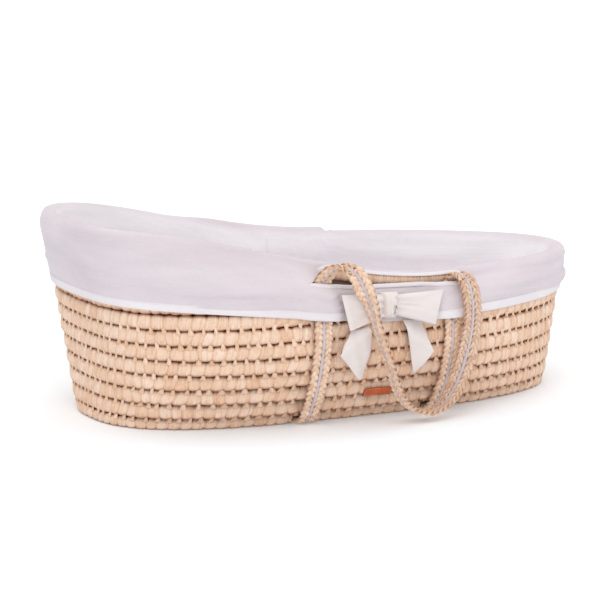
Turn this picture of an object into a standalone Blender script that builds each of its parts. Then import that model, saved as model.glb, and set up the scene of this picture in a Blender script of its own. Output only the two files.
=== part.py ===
"""Moses basket: coiled palm-leaf wall and base, sewn braided straps, two carrying handles
and a loose cotton liner with a skirt, slots, bow and leather label.

Metres, +Z up. +X is the foot end, -X the raised head end, -Y the front with the bow.
The origin is on the floor, under the middle of the basket.
"""

from math import cos, pi, radians, sin

import bmesh
import bpy
import numpy as np
from mathutils import Matrix, Vector

# ---------------------------------------------------------------- driving dimensions
RIM_HALF_LENGTH = 0.4185
RIM_HALF_WIDTH = 0.2004
BASE_HALF_LENGTH = 0.3724
BASE_HALF_WIDTH = 0.1657
BASE_SHIFT = -0.0047          # the base sits a little towards the head
RIM_SQUARENESS = (3.00, 2.05)   # superellipse exponent at the head and at the foot
BASE_SQUARENESS = (2.56, 3.07)
EGG = 0.11                    # the outline is wider at the head
BULGE_LENGTH = -0.010         # the ends are straight, the long sides barrel out
BULGE_WIDTH = 0.050

RIM_HEIGHT = 0.2129
HEAD_RISE = 0.0849
FOOT_DROP = 0.0056
HEM_HEIGHT = 0.1484
HEM_HEAD_RISE = 0.0398
RISE_STARTS = 0.2534          # along the half length, towards the foot
FOOT_STARTS = 0.20

MAT_THICKNESS = 0.0176
ROW_PITCH = 0.0231
FULL_ROWS = 7
HEAD_ROWS = 3
ROW_THICKNESS = 0.016
ROLL_HALF_WIDTH = 0.0095
ROLL_HALF_HEIGHT = 0.0100
ROLL_DROP = 0.0130            # from the liner's crest down to the roll's middle
GAP = 0.0004

BRAID_RADIUS = 0.0046
CORD_RADIUS = 0.0028
BRAID_SPACING = BRAID_RADIUS + CORD_RADIUS + GAP
STRAP_HEAD_X = -0.111
STRAP_FOOT_X = 0.102
CHANNEL_DEPTH = 0.0118

# Where each handle bends, just outside the slot's edge that its straps come over.
# Given as if on the front; the back handle is mirrored and lies lower over the edge.
HINGE_HEAD = {"front": (-0.0705, -0.2540, 0.2340), "back": (-0.0695, -0.2545, 0.2180)}
HINGE_FOOT = {"front": (0.1305, -0.2280, 0.2025), "back": (0.1305, -0.2280, 0.2000)}

CLOTH = 0.0020
LINER_INSIDE = -0.0215        # from the wall's outer face, inwards
SKIRT_OFFSET = 0.0045
SKIRT_OVER_STRAP = 0.0115     # how much further out the skirt stands over a strap
SLOT_HEAD_END = -0.132
SLOT_FOOT_END = 0.144
SLOT_FLOOR = 0.2038
SLOT_FLOOR_SLOPE = -0.055
SLOT_BELOW_CREST = 0.0055
SLOT_ROW = 10                 # row of the liner's sheet whose faces the slots leave out
HEM_TAPE = 0.0110

BOW_HEIGHT = 0.172
MATTRESS_THICKNESS = 0.028
LABEL_SIZE = (0.045, 0.0015, 0.014)

SIDE_STEP = 0.012             # column spacing on the long sides
END_COLUMNS = 15              # columns round each end

PALM = (0.72, 0.50, 0.29, 1)
PALM_PALE = (0.78, 0.58, 0.38, 1)
CORD_GREY = (0.72, 0.70, 0.70, 1)
COTTON = (0.86, 0.83, 0.85, 1)
COTTON_WHITE = (0.90, 0.89, 0.89, 1)
LEATHER = (0.45, 0.16, 0.06, 1)

COLLECTION = "moses_basket"


# ---------------------------------------------------------------- scene and materials
def clear_scene():
    for obj in list(bpy.data.objects):
        bpy.data.objects.remove(obj, do_unlink=True)
    for name in (COLLECTION, "guides"):
        collection = bpy.data.collections.new(name)
        bpy.context.scene.collection.children.link(collection)


def material(name, colour, roughness):
    mat = bpy.data.materials.new(name)
    mat.use_nodes = True
    shader = mat.node_tree.nodes["Principled BSDF"]
    shader.inputs["Base Color"].default_value = colour
    shader.inputs["Roughness"].default_value = roughness
    shader.inputs["Metallic"].default_value = 0.0
    return mat


def link(obj, colour=None, roughness=0.8, collection=COLLECTION):
    """Put an object in its collection alone, with its own material."""
    for owner in list(obj.users_collection):
        owner.objects.unlink(obj)
    bpy.data.collections[collection].objects.link(obj)
    if colour is not None:
        obj.data.materials.append(material(obj.name + "_material", colour, roughness))
    return obj


def as_guide(obj):
    obj.hide_render = True
    obj.display_type = "WIRE"
    return obj


# ---------------------------------------------------------------- the basket's shape
def smooth(u):
    u = np.clip(u, 0.0, 1.0)
    return u * u * (3.0 - 2.0 * u)


def outline(angle, half_length, half_width, squareness):
    """Egg-shaped superellipse: x and y at an angle, head end at pi."""
    c, s = cos(angle), sin(angle)
    power = 2.0 / (squareness[0] if c < 0 else squareness[1])
    x = half_length * np.sign(c) * abs(c) ** power
    y = half_width * (1.0 - EGG * c) * np.sign(s) * abs(s) ** power
    return np.array([x, y])


def rim_height(angle):
    u = outline(angle, 1.0, 1.0, RIM_SQUARENESS)[0]
    head = HEAD_RISE * smooth((RISE_STARTS - u) / (1.0 + RISE_STARTS))
    foot = FOOT_DROP * smooth((u - FOOT_STARTS) / (1.0 - FOOT_STARTS))
    return RIM_HEIGHT + head - foot


def hem_height(angle):
    u = outline(angle, 1.0, 1.0, RIM_SQUARENESS)[0]
    return HEM_HEIGHT + HEM_HEAD_RISE * smooth((RISE_STARTS - u) / (1.0 + RISE_STARTS))


def wall_flat(angle, z):
    """Outer face of the wall at a height, as x and y."""
    t = z / rim_height(angle)
    base = outline(angle, BASE_HALF_LENGTH, BASE_HALF_WIDTH, BASE_SQUARENESS)
    base[0] += BASE_SHIFT
    rim = outline(angle, RIM_HALF_LENGTH, RIM_HALF_WIDTH, RIM_SQUARENESS)
    bulge = outline(angle, BULGE_LENGTH, BULGE_WIDTH, RIM_SQUARENESS)
    return base * (1.0 - t) + rim * t + bulge * 4.0 * t * (1.0 - t)


def outward(angle, z):
    """Level unit vector square to the wall."""
    step = 0.004
    along = wall_flat(angle + step, z) - wall_flat(angle - step, z)
    across = np.array([along[1], -along[0]])
    return across / np.linalg.norm(across)


def wall_point(angle, z, offset=0.0):
    x, y = wall_flat(angle, z) + outward(angle, z) * offset
    return Vector((x, y, z))


def angle_at_x(x, z, side):
    """Angle where the wall on one long side (+1 back, -1 front) has the given x."""
    low, high = 0.02, pi - 0.02
    for _ in range(40):
        middle = (low + high) / 2.0
        if wall_flat(middle, z)[0] > x:
            low = middle
        else:
            high = middle
    return side * (low + high) / 2.0


def end_angles(first, last, count):
    """Angles evenly spaced along the rim between two angles, both left out."""
    fine = np.linspace(first, last, 400)
    points = np.array([outline(a, RIM_HALF_LENGTH, RIM_HALF_WIDTH, RIM_SQUARENESS) for a in fine])
    length = np.r_[0.0, np.cumsum(np.linalg.norm(np.diff(points, axis=0), axis=1))]
    wanted = np.linspace(0.0, length[-1], count + 2)[1:-1]
    return list(np.interp(wanted, length, fine))


def column_angles(side_x, end_count):
    """All columns round the basket, anticlockwise from the back of the foot end."""
    back = [angle_at_x(x, RIM_HEIGHT, 1) for x in reversed(side_x)]
    front = [angle_at_x(x, RIM_HEIGHT, -1) + 2.0 * pi for x in side_x]
    head = end_angles(back[-1], front[0], end_count)
    foot = end_angles(front[-1], back[0] + 2.0 * pi, end_count)
    return back + head + front + foot


# ---------------------------------------------------------------- shape helpers
def poly_curve(name, points, cyclic=False, dimensions="3D"):
    curve = bpy.data.curves.new(name, "CURVE")
    curve.dimensions = dimensions
    spline = curve.splines.new("POLY")
    spline.points.add(len(points) - 1)
    for point, co in zip(spline.points, points):
        point.co = (*co, 1.0)
    spline.use_cyclic_u = cyclic
    return bpy.data.objects.new(name, curve)


def tube(name, points, radius, colour, cyclic=False, resolution=1, origin=None, parent=None):
    """Round bar along a path. With an origin, the path is kept relative to it."""
    shift = Vector(origin) if origin else Vector()
    obj = poly_curve(name, [Vector(p) - shift for p in points], cyclic)
    obj.data.bevel_depth = radius
    obj.data.bevel_resolution = resolution
    obj.data.use_fill_caps = not cyclic
    if parent is not None:
        obj.parent = parent
    else:
        obj.location = shift
    return link(obj, colour)


def section_guide(name, half_width, half_height):
    """Flat six-sided section: half_width across, half_height up."""
    corners = ((half_width, 0.0), (half_width * 0.5, -half_height), (-half_width * 0.5, -half_height),
               (-half_width, 0.0), (-half_width * 0.5, half_height), (half_width * 0.5, half_height))
    guide = poly_curve(name, [(x, y, 0.0) for x, y in corners], cyclic=True, dimensions="2D")
    guide.data.fill_mode = "NONE"
    return as_guide(link(guide, collection="guides"))


def swept(name, points, section, colour, cyclic=True):
    """Bar with a flat section kept upright along a path."""
    obj = poly_curve(name, points, cyclic)
    obj.data.twist_mode = "Z_UP"
    obj.data.bevel_mode = "OBJECT"
    obj.data.bevel_object = section
    obj.data.use_fill_caps = not cyclic
    return link(obj, colour)


def as_mesh(obj):
    """Replace a curve object by its evaluated mesh, caps welded."""
    bpy.context.view_layer.update()
    evaluated = obj.evaluated_get(bpy.context.evaluated_depsgraph_get())
    mesh = bpy.data.meshes.new_from_object(evaluated)
    bm = bmesh.new()
    bm.from_mesh(mesh)
    bmesh.ops.remove_doubles(bm, verts=bm.verts, dist=1e-6)
    bmesh.ops.recalc_face_normals(bm, faces=bm.faces)
    bm.to_mesh(mesh)
    bm.free()
    name, matrix, owner = obj.name, obj.matrix_world.copy(), obj.users_collection[0]
    bpy.data.objects.remove(obj, do_unlink=True)
    solid = bpy.data.objects.new(name, mesh)
    solid.matrix_world = matrix
    owner.objects.link(solid)
    return solid


def grid_sheet(name, rows, colour, thickness, closed_bottom=False, holes=()):
    """Sheet lofted through closed rows of points, thickened evenly about its surface."""
    bm = bmesh.new()
    rings = [[bm.verts.new(p) for p in row] for row in rows]
    count = len(rings[0])
    for j in range(len(rings) - 1):
        for i in range(count):
            if (j, i) in holes:
                continue
            k = (i + 1) % count
            bm.faces.new((rings[j][i], rings[j][k], rings[j + 1][k], rings[j + 1][i]))
    if closed_bottom:
        bm.faces.new(list(reversed(rings[0])))
    bmesh.ops.recalc_face_normals(bm, faces=bm.faces)
    mesh = bpy.data.meshes.new(name)
    bm.to_mesh(mesh)
    bm.free()
    obj = link(bpy.data.objects.new(name, mesh), colour)
    solidify = obj.modifiers.new("cloth", "SOLIDIFY")
    solidify.thickness = thickness
    solidify.offset = 0.0
    solidify.use_even_offset = True
    return obj


def plate(name, corners, thickness, colour, frame):
    """Flat piece in a frame's X-Y plane, its back on the plane."""
    obj = poly_curve(name, [(x, y, 0.0) for x, y in corners], cyclic=True, dimensions="2D")
    obj.data.fill_mode = "BOTH"
    obj.data.extrude = thickness / 2.0
    obj.matrix_world = frame @ Matrix.Translation((0.0, 0.0, thickness / 2.0))
    return link(obj, colour)


# ---------------------------------------------------------------- coiled wall and base
def build_base_mat(angles):
    """Flat oval base. Two channels underneath let the sewn straps pass below it."""
    middle = MAT_THICKNESS / 2.0
    edge = [wall_point(a, middle, -0.001) for a in angles]
    mat = poly_curve("base_mat", [(p.x, p.y, 0.0) for p in edge], cyclic=True, dimensions="2D")
    mat.data.fill_mode = "BOTH"
    mat.data.extrude = middle
    mat.location.z = middle
    link(mat)
    mat = as_mesh(mat)
    mat.data.materials.append(material("base_mat_material", PALM, 0.8))
    for x, name in ((STRAP_HEAD_X, "channel_head"), (STRAP_FOOT_X, "channel_foot")):
        bpy.ops.mesh.primitive_cube_add(size=1.0, location=(x, 0.0, 0.0))
        cutter = as_guide(link(bpy.context.object, collection="guides"))
        cutter.name = name
        cutter.scale = (2.0 * (BRAID_SPACING + BRAID_RADIUS) + 0.002, 0.5, 2.0 * CHANNEL_DEPTH)
        cut = mat.modifiers.new(name, "BOOLEAN")
        cut.operation = "DIFFERENCE"
        cut.object = cutter


def row_middle(index):
    return MAT_THICKNESS + GAP + ROW_PITCH * (index + 0.5)


def build_rows(angles):
    """Full rows of the coiled wall, then short rows that raise the head end."""
    section = section_guide("row_section", ROW_THICKNESS / 2.0, (ROW_PITCH - GAP) / 2.0)
    for index in range(FULL_ROWS):
        z = row_middle(index)
        path = [wall_point(a, z, -ROW_THICKNESS / 2.0) for a in angles]
        swept(f"wall_coil_{index + 1:02d}", path, section, PALM)
    for index in range(FULL_ROWS, FULL_ROWS + HEAD_ROWS):
        z = row_middle(index)
        needed = z + ROW_PITCH / 2.0 + 2.0 * ROLL_HALF_HEIGHT + 0.006
        path = [wall_point(a, z, -ROW_THICKNESS / 2.0) for a in angles if rim_height(a) > needed]
        swept(f"head_coil_{index - FULL_ROWS + 1}", path, section, PALM, cyclic=False)


def build_rim_roll(angles):
    """Wrapped roll along the top of the wall."""
    section = section_guide("roll_section", ROLL_HALF_WIDTH, ROLL_HALF_HEIGHT)
    path = [wall_point(a, rim_height(a) - ROLL_DROP, -ROLL_HALF_WIDTH) for a in angles]
    swept("rim_roll", path, section, PALM_PALE)


# ---------------------------------------------------------------- straps and handles
def strap_x(end, z):
    """The head strap is upright; the foot strap leans out towards its end of the slot."""
    if end == "head":
        return STRAP_HEAD_X
    return STRAP_FOOT_X + 0.040 * z + 0.006 * smooth((z - 0.15) / 0.05)


def wall_slope(x, z, side):
    """How the wall's y changes with height and with x on one long side."""
    step = 0.004
    above, below = (wall_flat(angle_at_x(x, z + dz, side), z + dz)[1] for dz in (step, -step))
    right, left = (wall_flat(angle_at_x(x + dx, z, side), z)[1] for dx in (step, -step))
    return (above - below) / (2 * step), (right - left) / (2 * step)


def strap_side(end, side):
    """Strap centre line down one long side, from the slot to the channel below the base."""
    heights = (0.197, 0.180, 0.162, 0.145, 0.125, 0.100, 0.078, 0.058, 0.040, 0.028)
    points = []
    for z in heights[0 if end == "head" else 1:]:
        x = strap_x(end, z)
        a = angle_at_x(x, z, side)
        slope = abs(wall_slope(x, z, side)[0])
        clear = (BRAID_RADIUS + 0.0008) * (1.0 + slope * slope) ** 0.5
        clear += max(0.0, slope * ROW_PITCH / 2.0 - ROW_THICKNESS / 4.0)
        points.append(Vector((x, wall_flat(a, z)[1] + side * clear, z)))
    x = strap_x(end, 0.0)
    edge = abs(wall_flat(angle_at_x(x, 0.009, side), 0.009)[1])
    under_edge = (
        (0.0225, 0.0185), (0.0150, 0.0105), (0.0060, 0.0058), (-0.0040, 0.0050), (-0.0300, 0.0050))
    for out, z in under_edge:
        points.append(Vector((x, side * (edge + out), z)))
    return points


def strap_end(end, side):
    """The strap comes up through the slot, over its edge, and stops short of the handle's bend."""
    over_edge = {
        ("head", -1): ((-0.0790, -0.2475, 0.2405), (-0.0870, -0.2415, 0.2400), (-0.0950, -0.2365, 0.2350),
                       (-0.1015, -0.2325, 0.2270), (-0.1070, -0.2290, 0.2165)),
        ("head", 1): ((-0.0790, -0.2475, 0.2255), (-0.0870, -0.2415, 0.2265), (-0.0950, -0.2360, 0.2240),
                      (-0.1015, -0.2310, 0.2200), (-0.1070, -0.2280, 0.2135)),
        ("foot", -1): ((0.1272, -0.2155, 0.2082), (0.1240, -0.2105, 0.2065), (0.1210, -0.2070, 0.2020),
                       (0.1180, -0.2045, 0.1955)),
        ("foot", 1): ((0.1272, -0.2155, 0.2056), (0.1240, -0.2105, 0.2045), (0.1210, -0.2070, 0.2005),
                      (0.1180, -0.2045, 0.1950))}
    points = over_edge[end, side]
    return [Vector((x, -side * y, z)) for x, y, z in points]


def strap_across(path):
    """Unit vectors across a strap that lies on the wall."""
    across = []
    for i, p in enumerate(path):
        along = (path[min(i + 1, len(path) - 1)] - path[max(i - 1, 0)]).normalized()
        side = 1 if p.y > 0 else -1
        sideways = Vector((1.0, wall_slope(p.x, max(p.z, 0.02), side)[1], 0.0))
        across.append((sideways - along * sideways.dot(along)).normalized())
    return across


def build_sewn_strap(end):
    """Two braids with a cord between them: down the front, under the base, up the back."""
    front = strap_end(end, -1) + strap_side(end, -1)
    back = strap_end(end, 1) + strap_side(end, 1)
    centre = front + list(reversed(back))
    across = strap_across(centre)
    outer = -1.0 if end == "head" else 1.0
    for piece, shift in (("braid_outer", outer), ("braid_inner", -outer)):
        path = [p + v * shift * BRAID_SPACING for p, v in zip(centre, across)]
        tube(f"strap_{end}_{piece}", path, BRAID_RADIUS, PALM_PALE)
    tube(f"strap_{end}_cord", centre, CORD_RADIUS, CORD_GREY, resolution=0)


def handle_route(place):
    """Centre line of a handle as it hangs on the front, its head end first."""
    if place == "front":
        top = ((-0.0635, -0.2580, 0.2245), (-0.0560, -0.2615, 0.2090), (-0.0475, -0.2640, 0.1890))
    else:
        top = ((-0.0625, -0.2585, 0.2085), (-0.0555, -0.2610, 0.1960), (-0.0475, -0.2640, 0.1810))
    return [Vector(p) for p in (
        HINGE_HEAD[place], *top,
        (-0.0400, -0.2650, 0.1650), (-0.0315, -0.2645, 0.1380), (-0.0200, -0.2615, 0.1100),
        (-0.0090, -0.2585, 0.0840), (0.0015, -0.2555, 0.0560), (0.0155, -0.2525, 0.0340),
        (0.0355, -0.2500, 0.0195), (0.0610, -0.2475, 0.0145), (0.0850, -0.2450, 0.0225),
        (0.0985, -0.2440, 0.0370), (0.1115, -0.2435, 0.0600), (0.1225, -0.2435, 0.0910),
        (0.1300, -0.2430, 0.1210), (0.1335, -0.2425, 0.1480), (0.1340, -0.2410, 0.1680),
        (0.1325, -0.2360, 0.1880), HINGE_FOOT[place])]


def handle_turn(share):
    """How far the strap turns edge-on along its length: flat at the ends, edge-on below."""
    rise = smooth((share - 0.04) / 0.16)
    fall = smooth((0.84 - share) / 0.30)
    return radians(88.0) * min(rise, fall)


def handle_sides(route):
    """Unit vectors across the strap, from its cord to its outer braid."""
    sides = []
    for i in range(len(route)):
        along = (route[min(i + 1, len(route) - 1)] - route[max(i - 1, 0)]).normalized()
        turn = handle_turn(i / (len(route) - 1))
        across = Vector((cos(turn), -sin(turn), 0.0))
        across -= along * across.dot(along)
        sides.append(across.normalized())
    return sides


def build_handle(place, side):
    """Carrying loop of two braids and a cord, hinged on the line where it leaves the slot."""
    name = f"handle_{place}"
    hinge = HINGE_HEAD[place]
    pivot = bpy.data.objects.new(f"{name}_pivot", None)
    pivot.location = (hinge[0], -side * hinge[1], hinge[2])
    bpy.data.collections[COLLECTION].objects.link(pivot)
    route = handle_route(place)
    across = handle_sides(route)
    mirror = Matrix.Diagonal((1.0, -side, 1.0))
    for piece, shift in (("braid_near", 1.0), ("braid_far", -1.0)):
        path = [mirror @ (p + s * shift * BRAID_SPACING) for p, s in zip(route, across)]
        tube(f"{name}_{piece}", path, BRAID_RADIUS, PALM_PALE, origin=pivot.location, parent=pivot)
    cord = [mirror @ p for p in route]
    tube(f"{name}_cord", cord, CORD_RADIUS, CORD_GREY, resolution=0, origin=pivot.location, parent=pivot)


# ---------------------------------------------------------------- liner
def slot_floor(angle):
    """Lower edge of the slots: sloping gently to the foot, rising to the head corner."""
    x = wall_flat(angle, RIM_HEIGHT)[0]
    return SLOT_FLOOR + SLOT_FLOOR_SLOPE * x + 0.007 * smooth((-0.050 - x) / 0.085)


def slot_top(angle):
    """Upper edge of the slots: just under the crest, closing to a corner at each end.

    Past the slot's ends the same row of the sheet runs half way up to the crest.
    """
    x = wall_flat(angle, RIM_HEIGHT)[0]
    crest = rim_height(angle) - SLOT_BELOW_CREST
    corner = slot_floor(angle) + 0.004
    inside = smooth((x - SLOT_HEAD_END) / 0.030) * smooth((SLOT_FOOT_END - x) / 0.012)
    outside = smooth(max(SLOT_HEAD_END - x, x - SLOT_FOOT_END) / 0.050)
    return corner + (crest - corner) * (inside + 0.5 * outside)


def skirt_offset(angle):
    """The skirt stands further out where it passes over a strap."""
    x, y = wall_flat(angle, HEM_HEIGHT)
    from_strap = min(abs(x - STRAP_HEAD_X), abs(x - strap_x("foot", 0.175)) - 0.004)
    return SKIRT_OFFSET + SKIRT_OVER_STRAP * smooth((0.033 - from_strap) / 0.013)


def in_slot(angle):
    x, y = wall_flat(angle, RIM_HEIGHT)
    return SLOT_HEAD_END - 0.001 < x < SLOT_FOOT_END + 0.001 and abs(y) > 0.1


def roll_point(angle, across, z):
    """Point beside the rim roll: across is measured from the roll's middle, outwards."""
    middle = rim_height(angle) - ROLL_DROP
    point = wall_point(angle, middle, across - ROLL_HALF_WIDTH)
    return Vector((point.x, point.y, z))


def roll_outside(angle, z):
    """The cloth where it turns down over the roll's outer side."""
    below = rim_height(angle) - CLOTH / 2 - z
    return roll_point(angle, 0.0065 + min(below, 0.008) * 0.65, z)


def shoulder(angle):
    """Height of the last row on the roll's outer side, above a slot's upper edge."""
    crest = rim_height(angle) - CLOTH / 2
    return crest - min(0.008, (crest - slot_top(angle)) * 0.6)


def skirt_top(angle, further=0.0):
    """The skirt at the slots' upper edge: on the roll there, and clear of it elsewhere."""
    z = slot_top(angle)
    share = float(smooth((rim_height(angle) - z - 0.006) / 0.03))
    free = wall_point(angle, z, skirt_offset(angle) + further)
    hugging = roll_outside(angle, z)
    away = outward(angle, z) * further
    hugging += Vector((away[0], away[1], 0.0))
    return hugging.lerp(free, share)


def under_roll(angle):
    """Top of the inner wall: inside both the wall's rows and the roll above them."""
    z = rim_height(angle) - 0.026
    by_wall = wall_point(angle, z, LINER_INSIDE)
    by_roll = roll_point(angle, -0.0120, z)
    out = outward(angle, z)
    further_in = (by_roll.x - by_wall.x) * out[0] + (by_roll.y - by_wall.y) * out[1] < 0.0
    return by_roll if further_in else by_wall


def liner_rows(angles):
    """Closed rows of the liner's sheet, from its bottom edge to the hem of the skirt."""
    rows = [[wall_point(a, MAT_THICKNESS + 0.003, -0.034) for a in angles],
            [wall_point(a, 0.034, LINER_INSIDE - 0.002) for a in angles]]
    for share in (0.25, 0.50, 0.75):
        row = []
        for a in angles:
            top = rim_height(a) - 0.028
            row.append(wall_point(a, 0.034 + (top - 0.034) * share, LINER_INSIDE))
        rows.append(row)
    rows.append([under_roll(a) for a in angles])
    rows.append([roll_point(a, -0.0120, rim_height(a) - 0.007) for a in angles])
    rows.append([roll_point(a, -0.0070, rim_height(a) - CLOTH / 2) for a in angles])
    rows.append([roll_point(a, 0.0065, rim_height(a) - CLOTH / 2) for a in angles])
    rows.append([roll_outside(a, shoulder(a)) for a in angles])
    rows.append([skirt_top(a) for a in angles])
    rows.append([wall_point(a, slot_floor(a), skirt_offset(a)) for a in angles])
    rows.append([wall_point(a, (slot_floor(a) + hem_height(a)) / 2, skirt_offset(a)) for a in angles])
    rows.append([wall_point(a, hem_height(a), skirt_offset(a)) for a in angles])
    return rows


def build_liner(angles):
    """Cotton liner: bottom, inner wall, over the rim, and the skirt with a slot each side."""
    holes = set()
    for i, a in enumerate(angles):
        following = angles[(i + 1) % len(angles)]
        if in_slot(a) and in_slot(following):
            holes.add((SLOT_ROW, i))
    grid_sheet("liner", liner_rows(angles), COTTON, CLOTH, closed_bottom=True, holes=holes)


def build_hem_tape(angles):
    """Folded tape round the lower edge of the skirt."""
    rows = []
    for height in (0.0006, HEM_TAPE):
        rows.append([wall_point(a, hem_height(a) + height, skirt_offset(a) + 0.0025) for a in angles])
    grid_sheet("hem_tape", rows, COTTON_WHITE, 0.0010)


def build_binding(name, angles, side):
    """Bias tape round one slot's edge."""
    inside = [a for a in angles if in_slot(a) and side * wall_flat(a, RIM_HEIGHT)[1] > 0]
    upper = [skirt_top(a, 0.0040) for a in inside]
    lower = [wall_point(a, slot_floor(a) + 0.0004, skirt_offset(a) + 0.0040) for a in inside]
    tube(name, upper + list(reversed(lower)), 0.0012, COTTON_WHITE, cyclic=True, resolution=0)


# ---------------------------------------------------------------- trimmings and mattress
def bow_frame(offset, lean):
    """Frame on the front of the skirt: x along the wall, y up it, z out of it."""
    middle = wall_point(angle_at_x(0.0, BOW_HEIGHT, -1), BOW_HEIGHT, offset)
    left = wall_point(angle_at_x(-0.075, BOW_HEIGHT, -1), BOW_HEIGHT)
    right = wall_point(angle_at_x(0.080, BOW_HEIGHT, -1), BOW_HEIGHT)
    along = (right - left).normalized()
    out = along.cross(Vector((0.0, 0.0, 1.0)))
    out = (out * cos(lean) + Vector((0.0, 0.0, 1.0)) * sin(lean)).normalized()
    up = out.cross(along)
    frame = Matrix((along, up, out)).transposed().to_4x4()
    return Matrix.Translation(middle) @ frame


def build_bow():
    """Flat bow on the skirt, under the front slot: two loops, a knot and two tails."""
    lean = radians(13.0)
    frame = bow_frame(0.0120, lean)
    plate("bow_loop_head", ((-0.079, 0.027), (-0.074, -0.026), (-0.0145, -0.011), (-0.0085, 0.0235)),
          0.0060, COTTON_WHITE, frame)
    plate("bow_knot", ((-0.0080, 0.024), (-0.0140, -0.012), (0.0060, -0.0145), (0.0180, 0.0215)),
          0.0075, COTTON_WHITE, frame)
    plate("bow_loop_foot", ((0.0185, 0.0205), (0.0066, -0.0145), (0.073, -0.031), (0.095, 0.017)),
          0.0060, COTTON_WHITE, frame @ Matrix.Translation((0.0, 0.0, 0.0050)))
    hanging = bow_frame(0.0105, 0.0) @ Matrix.Translation((0.0, 0.0, 0.0070))
    plate("bow_tail_head", ((-0.068, -0.032), (-0.088, -0.059), (-0.050, -0.102), (-0.037, -0.057),
                            (-0.042, -0.025)), 0.0025, COTTON_WHITE, hanging)
    plate("bow_tail_foot", ((0.015, -0.0215), (0.040, -0.100), (0.067, -0.069), (0.054, -0.032)),
          0.0025, COTTON_WHITE, hanging)


def build_label():
    """Leather tag on the lowest row, under the bow. It leans with the wall."""
    x, z = -0.0070, 0.0445
    a = angle_at_x(x, z, -1)
    low, high = wall_point(a, z - 0.006), wall_point(a, z + 0.006)
    lean = np.arctan2(low.y - high.y, high.z - low.z)
    bpy.ops.mesh.primitive_cube_add(size=1.0)
    label = bpy.context.object
    label.name = "leather_label"
    label.data.transform(Matrix.Diagonal((*LABEL_SIZE, 1.0)))
    label.rotation_euler.x = lean
    label.location = wall_point(a, z, 0.0075)
    link(label, LEATHER, 0.6)
    bevel = label.modifiers.new("edge", "BEVEL")
    bevel.width = 0.0004
    bevel.segments = 1


def build_mattress(angles):
    """Foam mattress in a cotton cover, lying loose on the liner's bottom."""
    bottom = MAT_THICKNESS + 0.003 + CLOTH / 2 + GAP
    edge = [wall_point(a, 0.030, -0.049) for a in angles]
    obj = poly_curve("mattress", [(p.x, p.y, 0.0) for p in edge], cyclic=True, dimensions="2D")
    obj.data.fill_mode = "BOTH"
    obj.data.extrude = MATTRESS_THICKNESS / 2.0 - 0.004
    obj.data.bevel_depth = 0.004
    obj.data.bevel_resolution = 1
    obj.location.z = bottom + MATTRESS_THICKNESS / 2.0
    link(obj, COTTON_WHITE)


def main():
    clear_scene()
    coarse = column_angles(list(np.linspace(-0.15, 0.15, 5)), 14)
    side_x = list(np.arange(SLOT_HEAD_END - 2 * SIDE_STEP, SLOT_FOOT_END + 2.5 * SIDE_STEP, SIDE_STEP))
    fine = column_angles(side_x, END_COLUMNS)

    build_base_mat(coarse)
    build_rows(coarse)
    build_rim_roll(fine)
    build_sewn_strap("head")
    build_sewn_strap("foot")
    build_handle("front", -1)
    build_handle("back", 1)
    build_liner(fine)
    build_hem_tape(fine)
    build_binding("slot_binding_front", fine, -1)
    build_binding("slot_binding_back", fine, 1)
    build_bow()
    build_label()
    build_mattress(coarse)


main()
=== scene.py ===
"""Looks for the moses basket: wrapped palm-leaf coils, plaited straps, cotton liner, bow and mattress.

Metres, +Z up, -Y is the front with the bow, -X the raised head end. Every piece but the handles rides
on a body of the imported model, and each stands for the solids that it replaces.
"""

import contextlib

import bmesh
import bpy
import numpy as np
from mathutils import Matrix, Vector


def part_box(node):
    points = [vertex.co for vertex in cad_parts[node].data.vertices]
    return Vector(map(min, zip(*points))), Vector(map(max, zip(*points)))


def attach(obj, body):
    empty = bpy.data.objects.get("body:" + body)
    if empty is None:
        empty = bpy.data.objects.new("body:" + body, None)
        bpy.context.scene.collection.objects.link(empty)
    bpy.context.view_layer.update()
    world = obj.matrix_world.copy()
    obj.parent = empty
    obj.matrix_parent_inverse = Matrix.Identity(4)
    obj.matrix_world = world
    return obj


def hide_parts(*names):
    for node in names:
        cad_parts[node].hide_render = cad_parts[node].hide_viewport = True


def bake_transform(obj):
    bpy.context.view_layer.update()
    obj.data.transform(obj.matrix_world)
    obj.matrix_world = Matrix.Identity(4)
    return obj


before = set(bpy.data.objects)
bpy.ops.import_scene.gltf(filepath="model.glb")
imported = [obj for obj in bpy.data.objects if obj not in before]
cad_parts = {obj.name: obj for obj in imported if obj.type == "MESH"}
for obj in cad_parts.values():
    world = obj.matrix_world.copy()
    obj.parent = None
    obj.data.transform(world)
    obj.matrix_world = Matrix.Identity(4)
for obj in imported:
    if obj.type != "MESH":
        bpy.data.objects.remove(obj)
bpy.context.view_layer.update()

TURN = 2.0 * np.pi

# ---- dimensions
# As in the part, except that the liner stands a little further in, clear of the leaf wraps.
RIM_HALF_LENGTH = 0.4185
RIM_HALF_WIDTH = 0.2004
BASE_HALF_LENGTH = 0.3724
BASE_HALF_WIDTH = 0.1657
BASE_SHIFT = -0.0047
RIM_SQUARENESS = (3.00, 2.05)
BASE_SQUARENESS = (2.56, 3.07)
EGG = 0.11
BULGE_LENGTH = -0.010
BULGE_WIDTH = 0.050
RIM_HEIGHT = 0.2129
HEAD_RISE = 0.0849
FOOT_DROP = 0.0056
HEM_HEIGHT = 0.1484
HEM_HEAD_RISE = 0.0398
RISE_STARTS = 0.2534
FOOT_STARTS = 0.20
MAT_THICKNESS = 0.0176
MAT_MIDDLE = MAT_THICKNESS / 2.0
BASE_EDGE_INSET = 0.0093
BASE_RING_PITCH = 0.0166
BASE_RINGS = 8
ROW_PITCH = 0.0231
FULL_ROWS = 7
HEAD_ROWS = 3
ROW_THICKNESS = 0.016
SLIVER = 0.0002
ROLL_HALF_WIDTH = 0.0095
ROLL_HALF_HEIGHT = 0.0100
ROLL_DROP = 0.0130
GAP = 0.0004
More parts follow.
